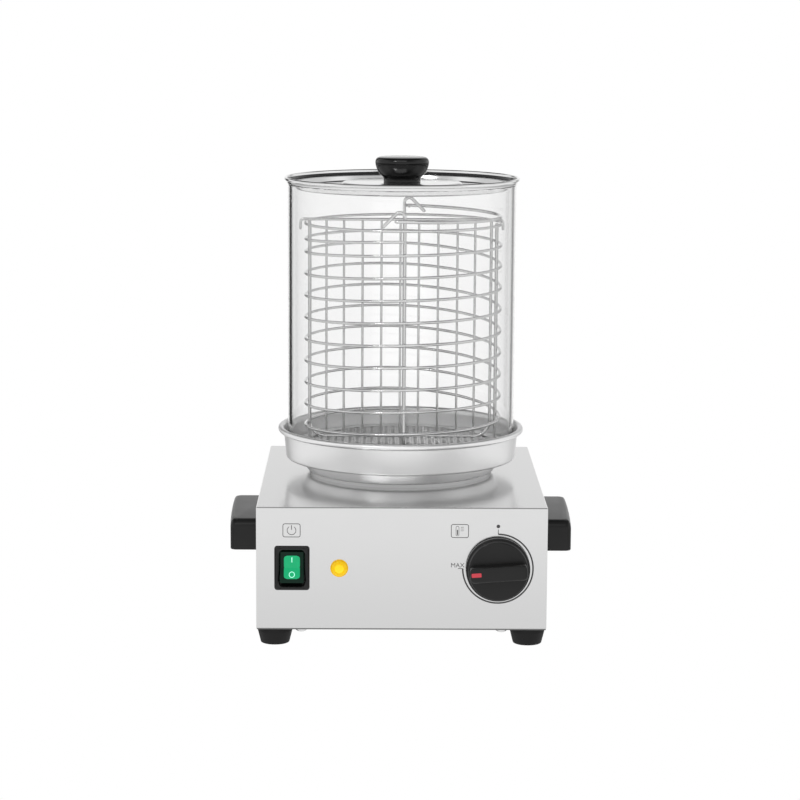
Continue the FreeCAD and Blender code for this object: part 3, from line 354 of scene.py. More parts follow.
PALE_PLASTIC = plastic("pale terminal plastic", (0.62, 0.62, 0.58), 0.45)
PRINT = plastic("grey panel print", grey(0.055), 0.5)
RED_PRINT = plastic("red pointer print", (0.56, 0.05, 0.07), 0.4, gloss=0.3)
WHITE_PRINT = glowing("pale switch print", (0.45, 0.95, 0.75), (0.4, 1.0, 0.75), 0.5)
GREEN_DARK = plastic("dark green switch plastic", (0.0, 0.016, 0.008), 0.16, relief=0.01 * MM, gloss=0.16)
GREEN_LIT = glowing("lit green switch plastic", (0.0, 0.34, 0.13), (0.0, 0.40, 0.15), 0.25)
AMBER = glowing("amber lamp plastic", (0.90, 0.52, 0.0), (1.0, 0.55, 0.0), 0.10)
AMBER_LIT = glowing("lit amber lamp core", (0.95, 0.62, 0.01), (1.0, 0.65, 0.01), 0.22)
GLASS = clear_glass()


# Meshes.

def finish(name, mesh, material, body, replaced=(), crease=32):
    """Links a finished mesh that rides on a body and stands for CAD nodes."""
    made = bmesh.new()
    made.from_mesh(mesh)
    bmesh.ops.remove_doubles(made, verts=made.verts, dist=TINY)
    bmesh.ops.recalc_face_normals(made, faces=made.faces)
    made.to_mesh(mesh)
    made.free()
    mesh.polygons.foreach_set("use_smooth", [True] * len(mesh.polygons))
    mesh.set_sharp_from_angle(angle=math.radians(crease))
    mesh.materials.clear()
    mesh.materials.append(material)
    piece = bpy.data.objects.new(name, mesh)
    bpy.context.scene.collection.objects.link(piece)
    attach(piece, body)
    if replaced:
        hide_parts(*replaced)


def mesh_of(name, points, faces):
    mesh = bpy.data.meshes.new(name)
    mesh.from_pydata([tuple(point) for point in points], [], faces)
    return mesh


def taken(made, name):
    """The mesh of a bmesh that is done with."""
    mesh = bpy.data.meshes.new(name)
    made.to_mesh(mesh)
    made.free()
    return mesh


def joined(name, parts):
    """One mesh from several."""
    points, faces = [], []
    for part in parts:
        start = len(points)
        points += [vertex.co.copy() for vertex in part.vertices]
        faces += [tuple(start + i for i in polygon.vertices) for polygon in part.polygons]
        bpy.data.meshes.remove(part)
    return mesh_of(name, points, faces)


def skin(made, rings):
    """Quads between closed loops of as many corners."""
    for first, second in zip(rings, rings[1:]):
        for i in range(len(first)):
            j = (i + 1) % len(first)
            made.faces.new((first[i], first[j], second[j], second[i]))


def extruded(made, face, axis, place):
    """A face drawn out until its copy lies at a place along an axis."""
    grown = bmesh.ops.extrude_face_region(made, geom=[face])
    for item in grown["geom"]:
        if isinstance(item, bmesh.types.BMVert):
            item.co[axis] = place


def bevel(made, edges, offset, steps):
    bmesh.ops.bevel(made, geom=edges, offset=offset, segments=steps, profile=0.5, affect="EDGES")


def level_edges(made, depth):
    """The edges that lie at a depth along y."""
    return [edge for edge in made.edges if all(abs(vertex.co.y - depth) < TINY for vertex in edge.verts)]


def rounded(corners, closed=True, steps=6):
    """Points through corners (point) or (point, radius), with arcs of that radius."""
    spots = [Vector(corner[0]) for corner in corners]
    points = []
    for i, corner in enumerate(corners):
        ends = not closed and i in (0, len(corners) - 1)
        if len(corner) < 2 or ends:
            points.append(spots[i])
            continue
        back = (spots[i - 1] - spots[i]).normalized()
        ahead = (spots[(i + 1) % len(spots)] - spots[i]).normalized()
        half = back.angle(ahead) / 2
        reach = corner[1] / math.tan(half)
        centre = spots[i] + (back + ahead).normalized() * (corner[1] / math.sin(half))
        start = spots[i] + back * reach - centre
        end = spots[i] + ahead * reach - centre
        for step in range(steps + 1):
            points.append(centre + start.slerp(end, step / steps) * corner[1])
    return points


def between(before, first, second, after, part):
    """The smooth curve through four values, part of the way from the second to the third."""
    ease = part * part * (3 - 2 * part)
    start = (second - before) / 2 * part * (1 - part) ** 2
    end = (after - first) / 2 * part * part * (1 - part)
    return first + (second - first) * ease + start - end


def through(spots, steps=6):
    """A smooth outline through (radius, height) spots."""
    spots = [Vector(spot) for spot in spots]
    spots = spots[:1] + spots + spots[-1:]
    outline = []
    for i in range(1, len(spots) - 2):
        outline += [between(*spots[i - 1:i + 3], step / steps) for step in range(steps)]
    return outline + [spots[-1]]


def rolled(centre, level, radius, start, sweep, steps):
    """(radius, height) points round a rolled rim, from a start angle through a sweep in degrees."""
    angles = [math.radians(start + sweep * i / steps) for i in range(steps + 1)]
    return [(centre + radius * math.cos(angle), level + radius * math.sin(angle)) for angle in angles]


def turned(name, corners, centre=AXIS, steps=6, segments=SEGMENTS, way=None):
    """A closed outline of (radius, height) or (radius, height, rounding) turned round the upright axis."""
    outline = rounded([(Vector((corner[0], 0, corner[1])), *corner[2:]) for corner in corners], steps=steps)
    points, rings = [], []
    for spot in outline:
        if spot.x < TINY:
            rings.append([len(points)] * segments)
            points.append(Vector((0, 0, spot.z)))
            continue
        rings.append(list(range(len(points), len(points) + segments)))
        for i in range(segments):
            angle = TURN * i / segments
            points.append(Vector((spot.x * math.cos(angle), spot.x * math.sin(angle), spot.z)))
    faces = []
    for first, second in zip(rings, rings[1:] + rings[:1]):
        for i in range(segments):
            j = (i + 1) % segments
            face = []
            for index in (first[i], first[j], second[j], second[i]):
                if index not in face:
                    face.append(index)
            if len(face) > 2:
                faces.append(face)
    turn = way or Matrix.Identity(4)
    return mesh_of(name, [turn @ point + centre for point in points], faces)


def directions(path, closed):
    """The way along a path at each of its points."""
    ways = []
    for i, spot in enumerate(path):
        after = path[(i + 1) % len(path)] if closed or i + 1 < len(path) else spot
        before = path[i - 1] if closed or i > 0 else spot
        ways.append((after - before).normalized())
    return ways


def wire(name, path, radius, sides=14, closed=False, material=WIRE_STEEL):
    """A round wire along a path, with softly rounded ends."""
    # Each point, with its share of the full thickness.
    spots = [(spot, 1.0) for spot in path]
    if not closed:
        ways = directions(path, closed)
        tip = radius * 0.5
        tip_parts = [(part, 0.45 + 0.55 * part) for part in (0, 0.55, 0.85, 1)]
        start = [(path[0] + ways[0] * tip * part, share) for part, share in tip_parts]
        end = [(path[-1] - ways[-1] * tip * part, share) for part, share in tip_parts[::-1]]
        spots = start + spots[1:-1] + end
    edges = [(i, i + 1) for i in range(len(spots) - 1)]
    if closed:
        edges.append((len(spots) - 1, 0))
    line = bpy.data.meshes.new(name)
    line.from_pydata([spot for spot, _ in spots], edges, [])
    shares = line.attributes.new("share", "FLOAT", "POINT")
    shares.data.foreach_set("value", [share for _, share in spots])
    layout = Layout("wire", Radius=radius, Sides=sides)
    curve = layout.value("GeometryNodeMeshToCurve", {"Mesh": layout.size("Piece")})
    share = layout.value("GeometryNodeInputNamedAttribute", {"Name": "share"}, "Attribute", data_type="FLOAT")
    sockets = {"Resolution": layout.size("Sides"), "Radius": layout.size("Radius")}
    profile = layout.value("GeometryNodeCurvePrimitiveCircle", sockets)
    sockets = {"Curve": curve, "Profile Curve": profile, "Scale": share, "Fill Caps": True}
    return layout.drawn(layout.value("GeometryNodeCurveToMesh", sockets), line, material)


def slab(name, outline, start, end, soften=0.0, steps=3):
    """An outline of (x, z) points made solid from one depth to another and softened at its far edges."""
    made = bmesh.new()
    face = made.faces.new([made.verts.new((x, start, z)) for x, z in outline])
    extruded(made, face, 1, end)
    if soften:
        bevel(made, level_edges(made, end), soften, steps)
    return taken(made, name)


def rectangle(width, height, x, z, radius, steps=6):
    """A rounded rectangle as (x, z) points."""
    corners = []
    for side, level in ((-1, -1), (1, -1), (1, 1), (-1, 1)):
        corners.append((Vector((x + side * width / 2, 0, z + level * height / 2)), radius))
    return [(point.x, point.z) for point in rounded(corners, steps=steps)]


def ring_slab(name, outer, inner, start, end, soften=0.0, steps=3):
    """A frame between two outlines of as many points, from one depth to another."""
    rows = [(outer, start), (outer, end), (inner, end), (inner, start)]
    made = bmesh.new()
    rings = [[made.verts.new((x, depth, z)) for x, z in outline] for outline, depth in rows]
    skin(made, rings + rings[:1])
    if soften:
        rims = [edge for edge in level_edges(made, end)
                if any(all(vertex in ring for vertex in edge.verts) for ring in rings[1:3])]
        bevel(made, rims, soften, steps)
    return taken(made, name)


# The round vessel pieces.

def water_pan():
    """A well for the water, a ledge for the glass, a flared wall and a rolled rim."""
    gauge = 0.7 * MM
    bead = 2.6 * MM
    bead_start, bead_sweep, bead_steps = 190, -300, 10
    rim = high("water_pan").z - bead
    bead_middle = high("water_pan").x - bead
    under = LEDGE - gauge
    well_top = under - 2.2 * MM
    floor_out, well_out, lip_out = 82 * MM, 85.5 * MM, 87.5 * MM
    floor_in, well_in, lip_in = 81.4 * MM, 84.8 * MM, 86.8 * MM
    wall_foot = GLASS_RADIUS + 1.3 * MM
    wall_top = bead_middle - bead - 0.4 * MM
    well_bend, inner_bend, lip_bend = 3 * MM, 2.4 * MM, 1.2 * MM
    foot_bend, rim_bend = 2.4 * MM, 1.5 * MM
    finish("pan", turned("pan", [
        (0, PAN_FLOOR),
        (floor_out, PAN_FLOOR, well_bend),
        (well_out, well_top, well_bend),
        (lip_out, under, lip_bend),
        (wall_foot, under, foot_bend),
        (wall_top + gauge, rim - 2.2 * MM, rim_bend),
        *rolled(bead_middle, rim, bead - gauge, bead_start, bead_sweep, bead_steps),
        *rolled(bead_middle, rim, bead, bead_start, bead_sweep, bead_steps)[::-1],
        (wall_top, rim - 1.8 * MM, rim_bend),
        (wall_foot - gauge, LEDGE, foot_bend - gauge),
        (lip_in, LEDGE, lip_bend),
        (well_in, well_top, inner_bend),
        (floor_in, PAN_FLOOR + gauge, inner_bend),
        (0, PAN_FLOOR + gauge),
    ], steps=5), PAN_STEEL, "pan", ["water_pan"])


def glass_cylinder():
    wall = 3 * MM
    edge = 0.9 * MM
    finish("glass", turned("glass", [
        (GLASS_RADIUS - wall, LEDGE, edge),
        (GLASS_RADIUS, LEDGE, edge),
        (GLASS_RADIUS, GLASS_TOP, edge),
        (GLASS_RADIUS - wall, GLASS_TOP, edge),
    ], steps=4, segments=256), GLASS, "glass", ["glass_cylinder"], crease=10)


def sieve_cell(pitch, hole, gauge):
    """A square of the sieve with its corners cut off and a round hole in it."""
    sides = 12
    outer, inner = [], []
    for i in range(sides):
        angle = TURN * i / sides
        across = Vector((math.cos(angle), math.sin(angle)))
        outer.append(across * (pitch / 2 / max(abs(across.x), abs(across.y))))
        inner.append(across * hole)
    made = bmesh.new()
    rows = [(outer, SIEVE_TOP), (inner, SIEVE_TOP), (inner, SIEVE_TOP - gauge), (outer, SIEVE_TOP - gauge)]
    rings = [[made.verts.new((*point, level)) for point in loop] for loop, level in rows]
    skin(made, rings + rings[:1])
    return taken(made, "sieve cell")


def perforated_field(piece, radius, pitch):
    """The cells of a square grid that lie within a radius, or pass it by a part of their pitch."""
    overlap = 0.4
    layout = Layout("perforated field", Radius=radius, Pitch=pitch, Rows=2 * int(radius / pitch) + 3)
    pitch, rows = layout.size("Pitch"), layout.size("Rows")
    side = (rows - 1) * pitch
    x, y, _ = layout.axes(layout.value("GeometryNodeInputPosition"))
    longer = layout.maths("MAXIMUM", abs(x), abs(y)) + pitch * 0.5
    shorter = layout.maths("MINIMUM", abs(x), abs(y)) + pitch * (0.5 * math.tan(math.radians(30)))
    limit = layout.size("Radius") + pitch * overlap
    outside = layout.maths("GREATER_THAN", longer * longer + shorter * shorter, limit * limit)
    sockets = {"Geometry": layout.grid(side, side, rows, rows), "Selection": outside}
    return layout.copies(layout.value("GeometryNodeDeleteGeometry", sockets), piece, SIEVE_STEEL)


def sieve_plate():
    """A skirted disc whose holes are cut row by row from a square grid of cells."""
    gauge = 0.8 * MM
    radius = high("sieve_plate").x
    field = 82 * MM
    pitch = 6.4 * MM
    hole = 1.9 * MM
    inner_bend, outer_bend = 1 * MM, 1.8 * MM
    skirt = turned("skirt", [
        (field, SIEVE_TOP - gauge),
        (radius - gauge, SIEVE_TOP - gauge, inner_bend),
        (radius - gauge, LEDGE),
        (radius, LEDGE),
        (radius, SIEVE_TOP, outer_bend),
        (field, SIEVE_TOP),
    ], steps=4)
    cells = perforated_field(sieve_cell(pitch, hole, gauge), field, pitch)
    cells.transform(Matrix.Translation(AXIS))
    finish("sieve", joined("sieve", [skirt, cells]), SIEVE_STEEL, "sieve", ["sieve_plate"])


def lid():
    """A pressed disc with a raised middle, a sunk ring that centres it in the glass, and a rolled rim."""
    gauge = 0.8 * MM
    bead = 1.55 * MM
    outer = high("lid").x
    rim = GLASS_TOP + 4.1 * MM
    edge = outer - bead * 2
    drop = GLASS_RADIUS - 5.5 * MM
    drop_slope = 1.5 * MM
    floor = GLASS_TOP + gauge - 4.8 * MM
    plateau = floor + 5.4 * MM
    plateau_edge, plateau_foot = 51 * MM, 56 * MM
    lean = 0.4 * MM
    bend, drop_bend, rim_bend = 3 * MM, 2.5 * MM, 1.2 * MM
    fold, shoulder, crease = 0.3 * MM, 1.0 * MM, 0.8 * MM
    finish("cover", turned("cover", [
        (0, plateau - gauge),
        (plateau_edge, plateau - gauge, bend),
        (plateau_foot, floor - gauge, bend),
        (drop - drop_slope, floor - gauge, drop_bend),
        (drop, GLASS_TOP, fold),
        (edge + gauge * 1.1, GLASS_TOP, rim_bend),
        (edge + gauge * 1.5, rim),
        *rolled(outer - bead, rim, bead, 180, -290, 8)[::-1],
        (edge + gauge * 0.2, GLASS_TOP + gauge, crease),
        (drop - gauge, GLASS_TOP + gauge, shoulder),
        (drop - gauge - drop_slope, floor, drop_bend - gauge),
        (plateau_foot + lean, floor, bend - gauge),
        (plateau_edge + lean, plateau, bend + gauge),
        (0, plateau),
    ], steps=5), LID_STEEL, "cover", ["lid"])
    # Painted shade: a thin black ring sits in the crevice under the rolled rim, where there is only shade.
    shade_ring_foot = GLASS_TOP + gauge * 1.6
    shade_ring_top = rim - 0.5 * MM
    finish("cover_rim_painted_shade", turned("cover_rim_painted_shade", [
        (edge - 0.35 * MM, shade_ring_foot),
        (edge + gauge, shade_ring_foot),
        (edge + gauge, shade_ring_top),
        (edge + 0.1 * MM, shade_ring_top, 0.2 * MM),
    ]), GLOSS_BLACK, "cover")


def lid_knob():
    """A turned knob: a narrow foot, a bowl that swells upwards, and a flat top."""
    foot = low("lid_knob").z
    bore = 2.6 * MM
    bore_top = foot + 12 * MM
    top = foot + 21.8 * MM
    foot_edge = 0.4 * MM
    # Radius and height over the foot, in mm.
    bowl = [(16.1, 3.0), (17.1, 4.2), (19.1, 6.2), (20.9, 8.9), (22.4, 12.2), (23.3, 15.6), (23.3, 18.0),
            (22.4, 20.0), (20.9, 21.1), (19.4, 21.5)]
    finish("cover_knob", turned("cover_knob", [
        (0, bore_top),
        (bore, bore_top),
        (bore, foot),
        (bowl[0][0] * MM, foot, foot_edge),
        *[(spot.x * MM, foot + spot.y * MM) for spot in through(bowl)],
        (0, top),
    ], segments=192), GLOSS_BLACK, "cover", ["lid_knob"])


# The wire basket.

def coil_drops():
    """How far the coil has come down at each quarter turn."""
    drops = [0, 4.8, 5.6, 9.4, 11.6]
    for _ in range(9):
        drops += [drops[-1] + step for step in (4.2, 5.1, 15.2, 19.05)]
    return [drop * MM for drop in drops]


def round_basket(angle, level):
    return BASKET + Vector((COIL_RADIUS * math.cos(angle), COIL_RADIUS * math.sin(angle), level))


def basket():
    """The coil starts at the front, turns to the left, and falls most between the back and the right."""
    quarter_steps = 18
    quarters = 38
    ring_steps = 144
    start = RING_LEVEL - 9.0 * MM
    drops = coil_drops()
    drops = drops[:1] + drops
    path = []
    for i in range(quarter_steps * quarters + 1):
        k = i // quarter_steps
        drop = between(*drops[k:k + 4], i / quarter_steps - k)
        path.append(round_basket(-QUARTER - QUARTER * i / quarter_steps, start - drop))
    finish("coil", wire("coil", path, COIL_WIRE, sides=12), WIRE_STEEL, "basket", ["basket_coil"])
    ring = [round_basket(TURN * i / ring_steps, RING_LEVEL) for i in range(ring_steps)]
    finish("top_ring", wire("top_ring", ring, COIL_WIRE, sides=12, closed=True), WIRE_STEEL, "basket",
           ["basket_top_ring"])
    posts()
    divider()


def posts():
    """One wire makes the front and rear posts with their hooks, and two short ones stand at the sides."""
    floor = SIEVE_TOP + POST_WIRE
    hook_top = RING_LEVEL + 21.5 * MM
    hook_end = RING_LEVEL + 2.7 * MM
    hook_reach = 18.8 * MM
    hook_bend = 4.3 * MM
    foot_bend = 14 * MM
    corners = []
    for side, x in ((-1, 1.8 * MM), (1, 3.1 * MM)):
        y = side * POST_RADIUS
        half = [
            (AXIS + Vector((x + side * hook_reach, y, hook_end)),),
            (AXIS + Vector((x, y, hook_top)), hook_bend),
            (AXIS + Vector((x, y, floor)), foot_bend),
        ]
        corners += half if side < 0 else half[::-1]
    long_wire = wire("posts", rounded(corners, closed=False, steps=10), POST_WIRE)
    finish("posts", long_wire, WIRE_STEEL, "basket", ["basket_posts"])
    sides = []
    for side in (-1, 1):
        spot = BASKET + Vector((side * POST_RADIUS, 0, 0))
        ends = [spot + Vector((0, 0, level)) for level in (floor, RING_LEVEL)]
        sides.append(wire("side post", ends, POST_WIRE))
    finish("side_posts", joined("side_posts", sides), WIRE_STEEL, "basket", ["basket_side_posts"])


def divider():
    """A frame, a top wire over the ring, and bars a little unevenly apart, as spot welds hold them."""
    bars = [place * MM for place in (-80.3, -65.6, -50.3, -34.0, -17.5, -1.0, 15.1, 32.0, 48.8, 64.2, 78.3)]
    floor = SIEVE_TOP + POST_WIRE * 3 + 0.4 * MM
    top = RING_LEVEL + COIL_WIRE + POST_WIRE
    hook = COIL_RADIUS + COIL_WIRE * 2 + 0.6 * MM
    hook_drop = 9 * MM
    frame_bend, hook_bend = 14 * MM, 3 * MM
    bar_wire = 1.0 * MM

    def bent(left, right, ends, middle_level, bend):
        """A wire down or up from its ends, with two bends."""
        return rounded([
            (AXIS + Vector((left, 0, ends)),),
            (AXIS + Vector((left, 0, middle_level)), bend),
            (AXIS + Vector((right, 0, middle_level)), bend),
            (AXIS + Vector((right, 0, ends)),),
        ], closed=False, steps=8)

    wires = [
        wire("frame", bent(bars[0], bars[-1], top, floor, frame_bend), COIL_WIRE),
        wire("top", bent(-hook, hook, top - hook_drop, top, hook_bend), COIL_WIRE),
    ]
    for x in bars[1:-1]:
        ends = [AXIS + Vector((x, 0, level)) for level in (floor, top)]
        wires.append(wire("bar", ends, bar_wire, sides=12))
    finish("divider", joined("divider", wires), WIRE_STEEL, "basket", ["basket_divider"])


def bail():
    """A half round of wire with a pin bent inwards at each end, lying on the ring at rest."""
    pivot, axis = pivot_of("bail_swing")
    radius = 87.6 * MM
    lean = -4.4 * MM
    pin = 9 * MM
    pin_bend = 1.5 * MM
    count = 64
    rest = RING_LEVEL + COIL_WIRE + POST_WIRE * 3 + 0.1 * MM
    fall = math.asin((pivot.z - rest) / radius)
    bow = []
    for i in range(count + 1):
        angle = -QUARTER + math.pi * i / count
        bow.append((Vector((lean + radius * math.cos(angle), radius * math.sin(angle), 0)),))
    bow[0] += (pin_bend,)
    bow[-1] += (pin_bend,)
    pins = [(Vector((0, end * (radius - pin), 0)),) for end in (-1, 1)]
    path = rounded([pins[0], *bow, pins[1]], closed=False, steps=5)
    skew = math.atan2(-axis.x, -axis.y)
    place = Matrix.Translation(pivot) @ Matrix.Rotation(-skew, 4, "Z") @ Matrix.Rotation(fall, 4, "Y")
    finish("bail_wire", wire("bail", [place @ point for point in path], POST_WIRE), WIRE_STEEL, "bail",
           ["basket_bail"])


# The base.

def handle(side):
    """A grip drawn as a stack of plans: hollow from below, with a full round along its upper edges."""
    node = "handle_left" if side < 0 else "handle_right"
    start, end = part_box(node)
    size = end - start
    inner = start.x if side > 0 else end.x
    middle_y = (start.y + end.y) / 2
    trim, bow, flare = 1.2 * MM, 1.0 * MM, 3.2 * MM
    crown, side_round, end_round = 8 * MM, 4.2 * MM, 8 * MM
    corner, least_corner = 4.5 * MM, 1.0 * MM
    wall, block, roof = 3 * MM, 15 * MM, 4 * MM
    # Height over the foot of the grip, and how far the sides and the ends are set in there.
    levels = [(0, 1.0 * MM, 1.0 * MM), (0.3 * MM, 0.3 * MM, 0.3 * MM), (1.0 * MM, 0, 0), (14 * MM, 0, 0)]
    steps = 12
    for i in range(steps + 1):
        angle = QUARTER * i / steps
        inset = 1 - math.cos(angle)
        levels.append((size.z - crown * (1 - math.sin(angle)), side_round * inset, end_round * inset))

    def plan(level, out, ends, shell=0.0, solid=0.0):
        """The outline at a level, or the hollow's, set in by its shell and by the solid ends."""
        wide = size.x - out - trim - shell
        half = size.y / 2 - ends - solid
        radius = max(least_corner, corner - shell)
        shape = [(Vector((shell, -half, 0)),)]
        for part in (-1, -0.7, -0.4, 0, 0.4, 0.7, 1):
            x = wide - bow * part * part + flare * (part + 1) / 2
            bend = (radius,) if abs(part) == 1 else ()
            shape.append((Vector((x, half * part, 0)), *bend))
        shape.append((Vector((shell, half, 0)),))
        return [Vector((inner + side * spot.x, middle_y + spot.y, start.z + level))
                for spot in rounded(shape, steps=8)]

    outside = [plan(*level) for level in levels]
    hollow = [plan(level, out, 0, wall, block) for level, out, _ in levels if level < size.z - roof]
    made = bmesh.new()
    feet_rings = []
    for loops in (outside, hollow):
        rings = [[made.verts.new(point) for point in loop] for loop in loops]
        skin(made, rings)
        made.faces.new(rings[-1])
        feet_rings.append(rings[0])
    skin(made, feet_rings)
    finish("left_handle" if side < 0 else "right_handle", taken(made, node), BLACK_PLASTIC, "base", [node],
           crease=26)


def at_corners(profile, node, inset, material, steps=6, segments=SEGMENTS):
    """A turned piece at each corner of a node's box, as far in from both sides."""
    start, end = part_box(node)
    span = end - start
    layout = Layout("corners of " + node, Width=span.x - inset * 2, Depth=span.y - inset * 2)
    centre = Vector((middle(node).x, middle(node).y, 0))
    piece = turned(node, profile, centre=centre, steps=steps, segments=segments)
    points = layout.grid(layout.size("Width"), layout.size("Depth"), 2, 2)
    return layout.copies(points, piece, material)


def feet():
    top = high("feet").z
    wide, tread, bore, screw = 14.4 * MM, 11.8 * MM, 5.6 * MM, 2.1 * MM
    bore_top = 6 * MM
    shoulder = top - 3.6 * MM
    edge, bore_edge = 1.2 * MM, 0.4 * MM
    profile = [
        (screw, bore_top),
        (bore, bore_top),
        (bore, 0, bore_edge),
        (tread, 0, edge),
        (wide, shoulder, edge),
        (wide, top),
        (screw, top),
    ]
    rubber = at_corners(profile, "feet", wide, RUBBER, steps=4, segments=64)
    finish("rubber_feet", rubber, RUBBER, "base", ["feet"])


def base_screws():
    foot, top = low("base_plate_screws").z, high("base_plate_screws").z
    head, shank = 5.4 * MM, 2 * MM
    dome_height = 3.6 * MM
    dome_steps = 6
    profile = [(0, foot)]
    for i in range(dome_steps + 1):
        angle = QUARTER * i / dome_steps
        profile.append((head * math.sin(angle), foot + dome_height * (1 - math.cos(angle))))
    profile += [(shank, foot + dome_height), (shank, top), (0, top)]
    heads = at_corners(profile, "base_plate_screws", head, FASTENER_STEEL, segments=40)
    finish("dome_screws", heads, FASTENER_STEEL, "base", ["base_plate_screws"])


def switch():
    """A bezel round a mouth, the case behind the panel, and the rocker that tilts in the mouth."""
    start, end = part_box("switch_body")
    centre = (start + end) / 2
    size = end - start
    mouth = (20.6 * MM, 29.8 * MM)
    case_depth, back_depth = 12 * MM, 10 * MM
    corner, mouth_corner, bezel_round = 2.5 * MM, 3.2 * MM, 2.2 * MM
    outer = rectangle(size.x, size.z, centre.x, centre.z, corner)
    inner = rectangle(*mouth, centre.x, centre.z, mouth_corner)
    walls = rectangle(25 * MM, 33 * MM, centre.x, centre.z, 0.5 * MM)
    case = joined("switch_case", [
        ring_slab("bezel", outer, inner, FRONT, start.y, bezel_round, 6),
        ring_slab("case", walls, inner, FRONT, FRONT + case_depth),
        slab("back", walls, FRONT + back_depth, end.y),
    ])
    finish("switch_case", case, GLOSS_BLACK, "base", ["switch_body"])
    pivot, _ = pivot_of("rocker_tilt")
    turn = Matrix.Translation(pivot) @ Matrix.Rotation(math.radians(-10), 4, "X")
    half_width = mouth[0] / 2 - 0.35 * MM
    half_height = mouth[1] / 2 - 1.7 * MM
    lip, dish = 6.0 * MM, 2.4 * MM
    root, root_half = 4 * MM, 9 * MM
    edge = 0.9 * MM
    side_view = [
        (-lip, -half_height),
        (dish - lip, 0),
        (-lip, half_height),
        (root, root_half),
        (root, -root_half),
    ]
    made = bmesh.new()
    face = made.faces.new([made.verts.new((-half_width, y, level)) for y, level in side_view])
    extruded(made, face, 0, half_width)
    bevel(made, list(made.edges), edge, 4)
    mesh = taken(made, "rocker")
    mesh.transform(turn)
    finish("rocker", mesh, GREEN_DARK, "rocker", ["switch_rocker"])
    slope = dish / half_height
    lit_lens(turn, lambda level: dish - lip - abs(level) * slope)


def lit_lens(turn, face_y):
    """The lit window set in the rocker's two faces, with its line and ring marks."""
    half_width, half_height = 6.6 * MM, 9.6 * MM
    corner = 2.6 * MM
    rise = 0.35 * MM
    rows, columns = 24, 12
    made = bmesh.new()
    grid = []
    for i in range(rows + 1):
        level = half_height * (2 * i / rows - 1)
        past = max(0.0, abs(level) - (half_height - corner))
        reach = half_width - corner + math.sqrt(max(0.0, corner ** 2 - past ** 2))
        row = []
        for j in range(columns + 1):
            x = reach * (2 * j / columns - 1)
            edge = max(abs(x) / half_width, abs(level) / half_height)
            row.append(made.verts.new((x, face_y(level) - rise * (1 - edge ** 6), level)))
        grid.append(row)
    for first, second in zip(grid, grid[1:]):
        for j in range(columns):
            made.faces.new((first[j], first[j + 1], second[j + 1], second[j]))
    window = taken(made, "window")
    window.transform(turn)
    finish("rocker_window", window, GREEN_LIT, "rocker")
    bar_width, bar_height, bar_level, bar_corner = 0.6 * MM, 4.2 * MM, 6.2 * MM, 0.2 * MM
    ring_radius, ring_level, ring_wire = 2.2 * MM, -6 * MM, 0.28 * MM
    bar_depth, bar_lift, ring_lift = 0.6 * MM, 0.1 * MM, 0.45 * MM
    bar = slab("on mark", rectangle(bar_width, bar_height, 0, bar_level, bar_corner), -bar_depth, 0)
    for vertex in bar.vertices:
        vertex.co.y += face_y(vertex.co.z) - bar_lift
    ring = []
    for x, z in arc(0, ring_level, ring_radius, 90, -270, 32)[:-1]:
        ring.append(Vector((x, face_y(z) - ring_lift, z)))
    marks = joined("switch_marks", [bar, wire("off mark", ring, ring_wire, 8, True, WHITE_PRINT)])
    marks.transform(turn)
    finish("switch_marks", marks, WHITE_PRINT, "rocker")


def lamp():
    """A ring-shaped holder through the panel, a lens with a raised rim, and the lit core in its cup."""
    centre = Vector((middle("indicator_lens").x, FRONT, CONTROL_HEIGHT))
    stem, bore, depth = 5 * MM, 3.5 * MM, -24 * MM
    flange, seat_radius, seat = 7.4 * MM, 6.7 * MM, 0.5 * MM
    finish("lamp_holder", turned("lamp_holder", [
        (bore, depth),
        (stem, depth),
        (stem, 0),
        (flange, 0),
        (flange, 1.0 * MM, 0.6 * MM),
        (6.9 * MM, 1.3 * MM),
        (seat_radius, seat),
        (bore, seat),
    ], centre=centre, steps=4, segments=64, way=FORWARD), AMBER, "base", ["indicator_holder"])
    plug, lens, plug_depth, lens_back = 3.4 * MM, 6.6 * MM, -3 * MM, 0.6 * MM
    cup = 2.9 * MM
    finish("lamp_lens", turned("lamp_lens", [
        (0, plug_depth),
        (plug, plug_depth),
        (plug, lens_back),
        (lens, lens_back),
        (lens, 2.2 * MM, 0.9 * MM),
        (4.4 * MM, 3.5 * MM, 0.5 * MM),
        (4.1 * MM, cup, 0.3 * MM),
        (0, cup),
    ], centre=centre, steps=5, segments=64, way=FORWARD), AMBER, "base", ["indicator_lens"])
    core_radius, core_height = 3.9 * MM, 1.1 * MM
    steps = 6
    core = [(0, cup)]
    for i in range(steps + 1):
        angle = QUARTER * i / steps
        core.append((core_radius * math.cos(angle), cup + core_height * math.sin(angle)))
    dome = turned("lamp_core", core, centre=centre, segments=48, way=FORWARD)
    finish("lamp_core", dome, AMBER_LIT, "base")


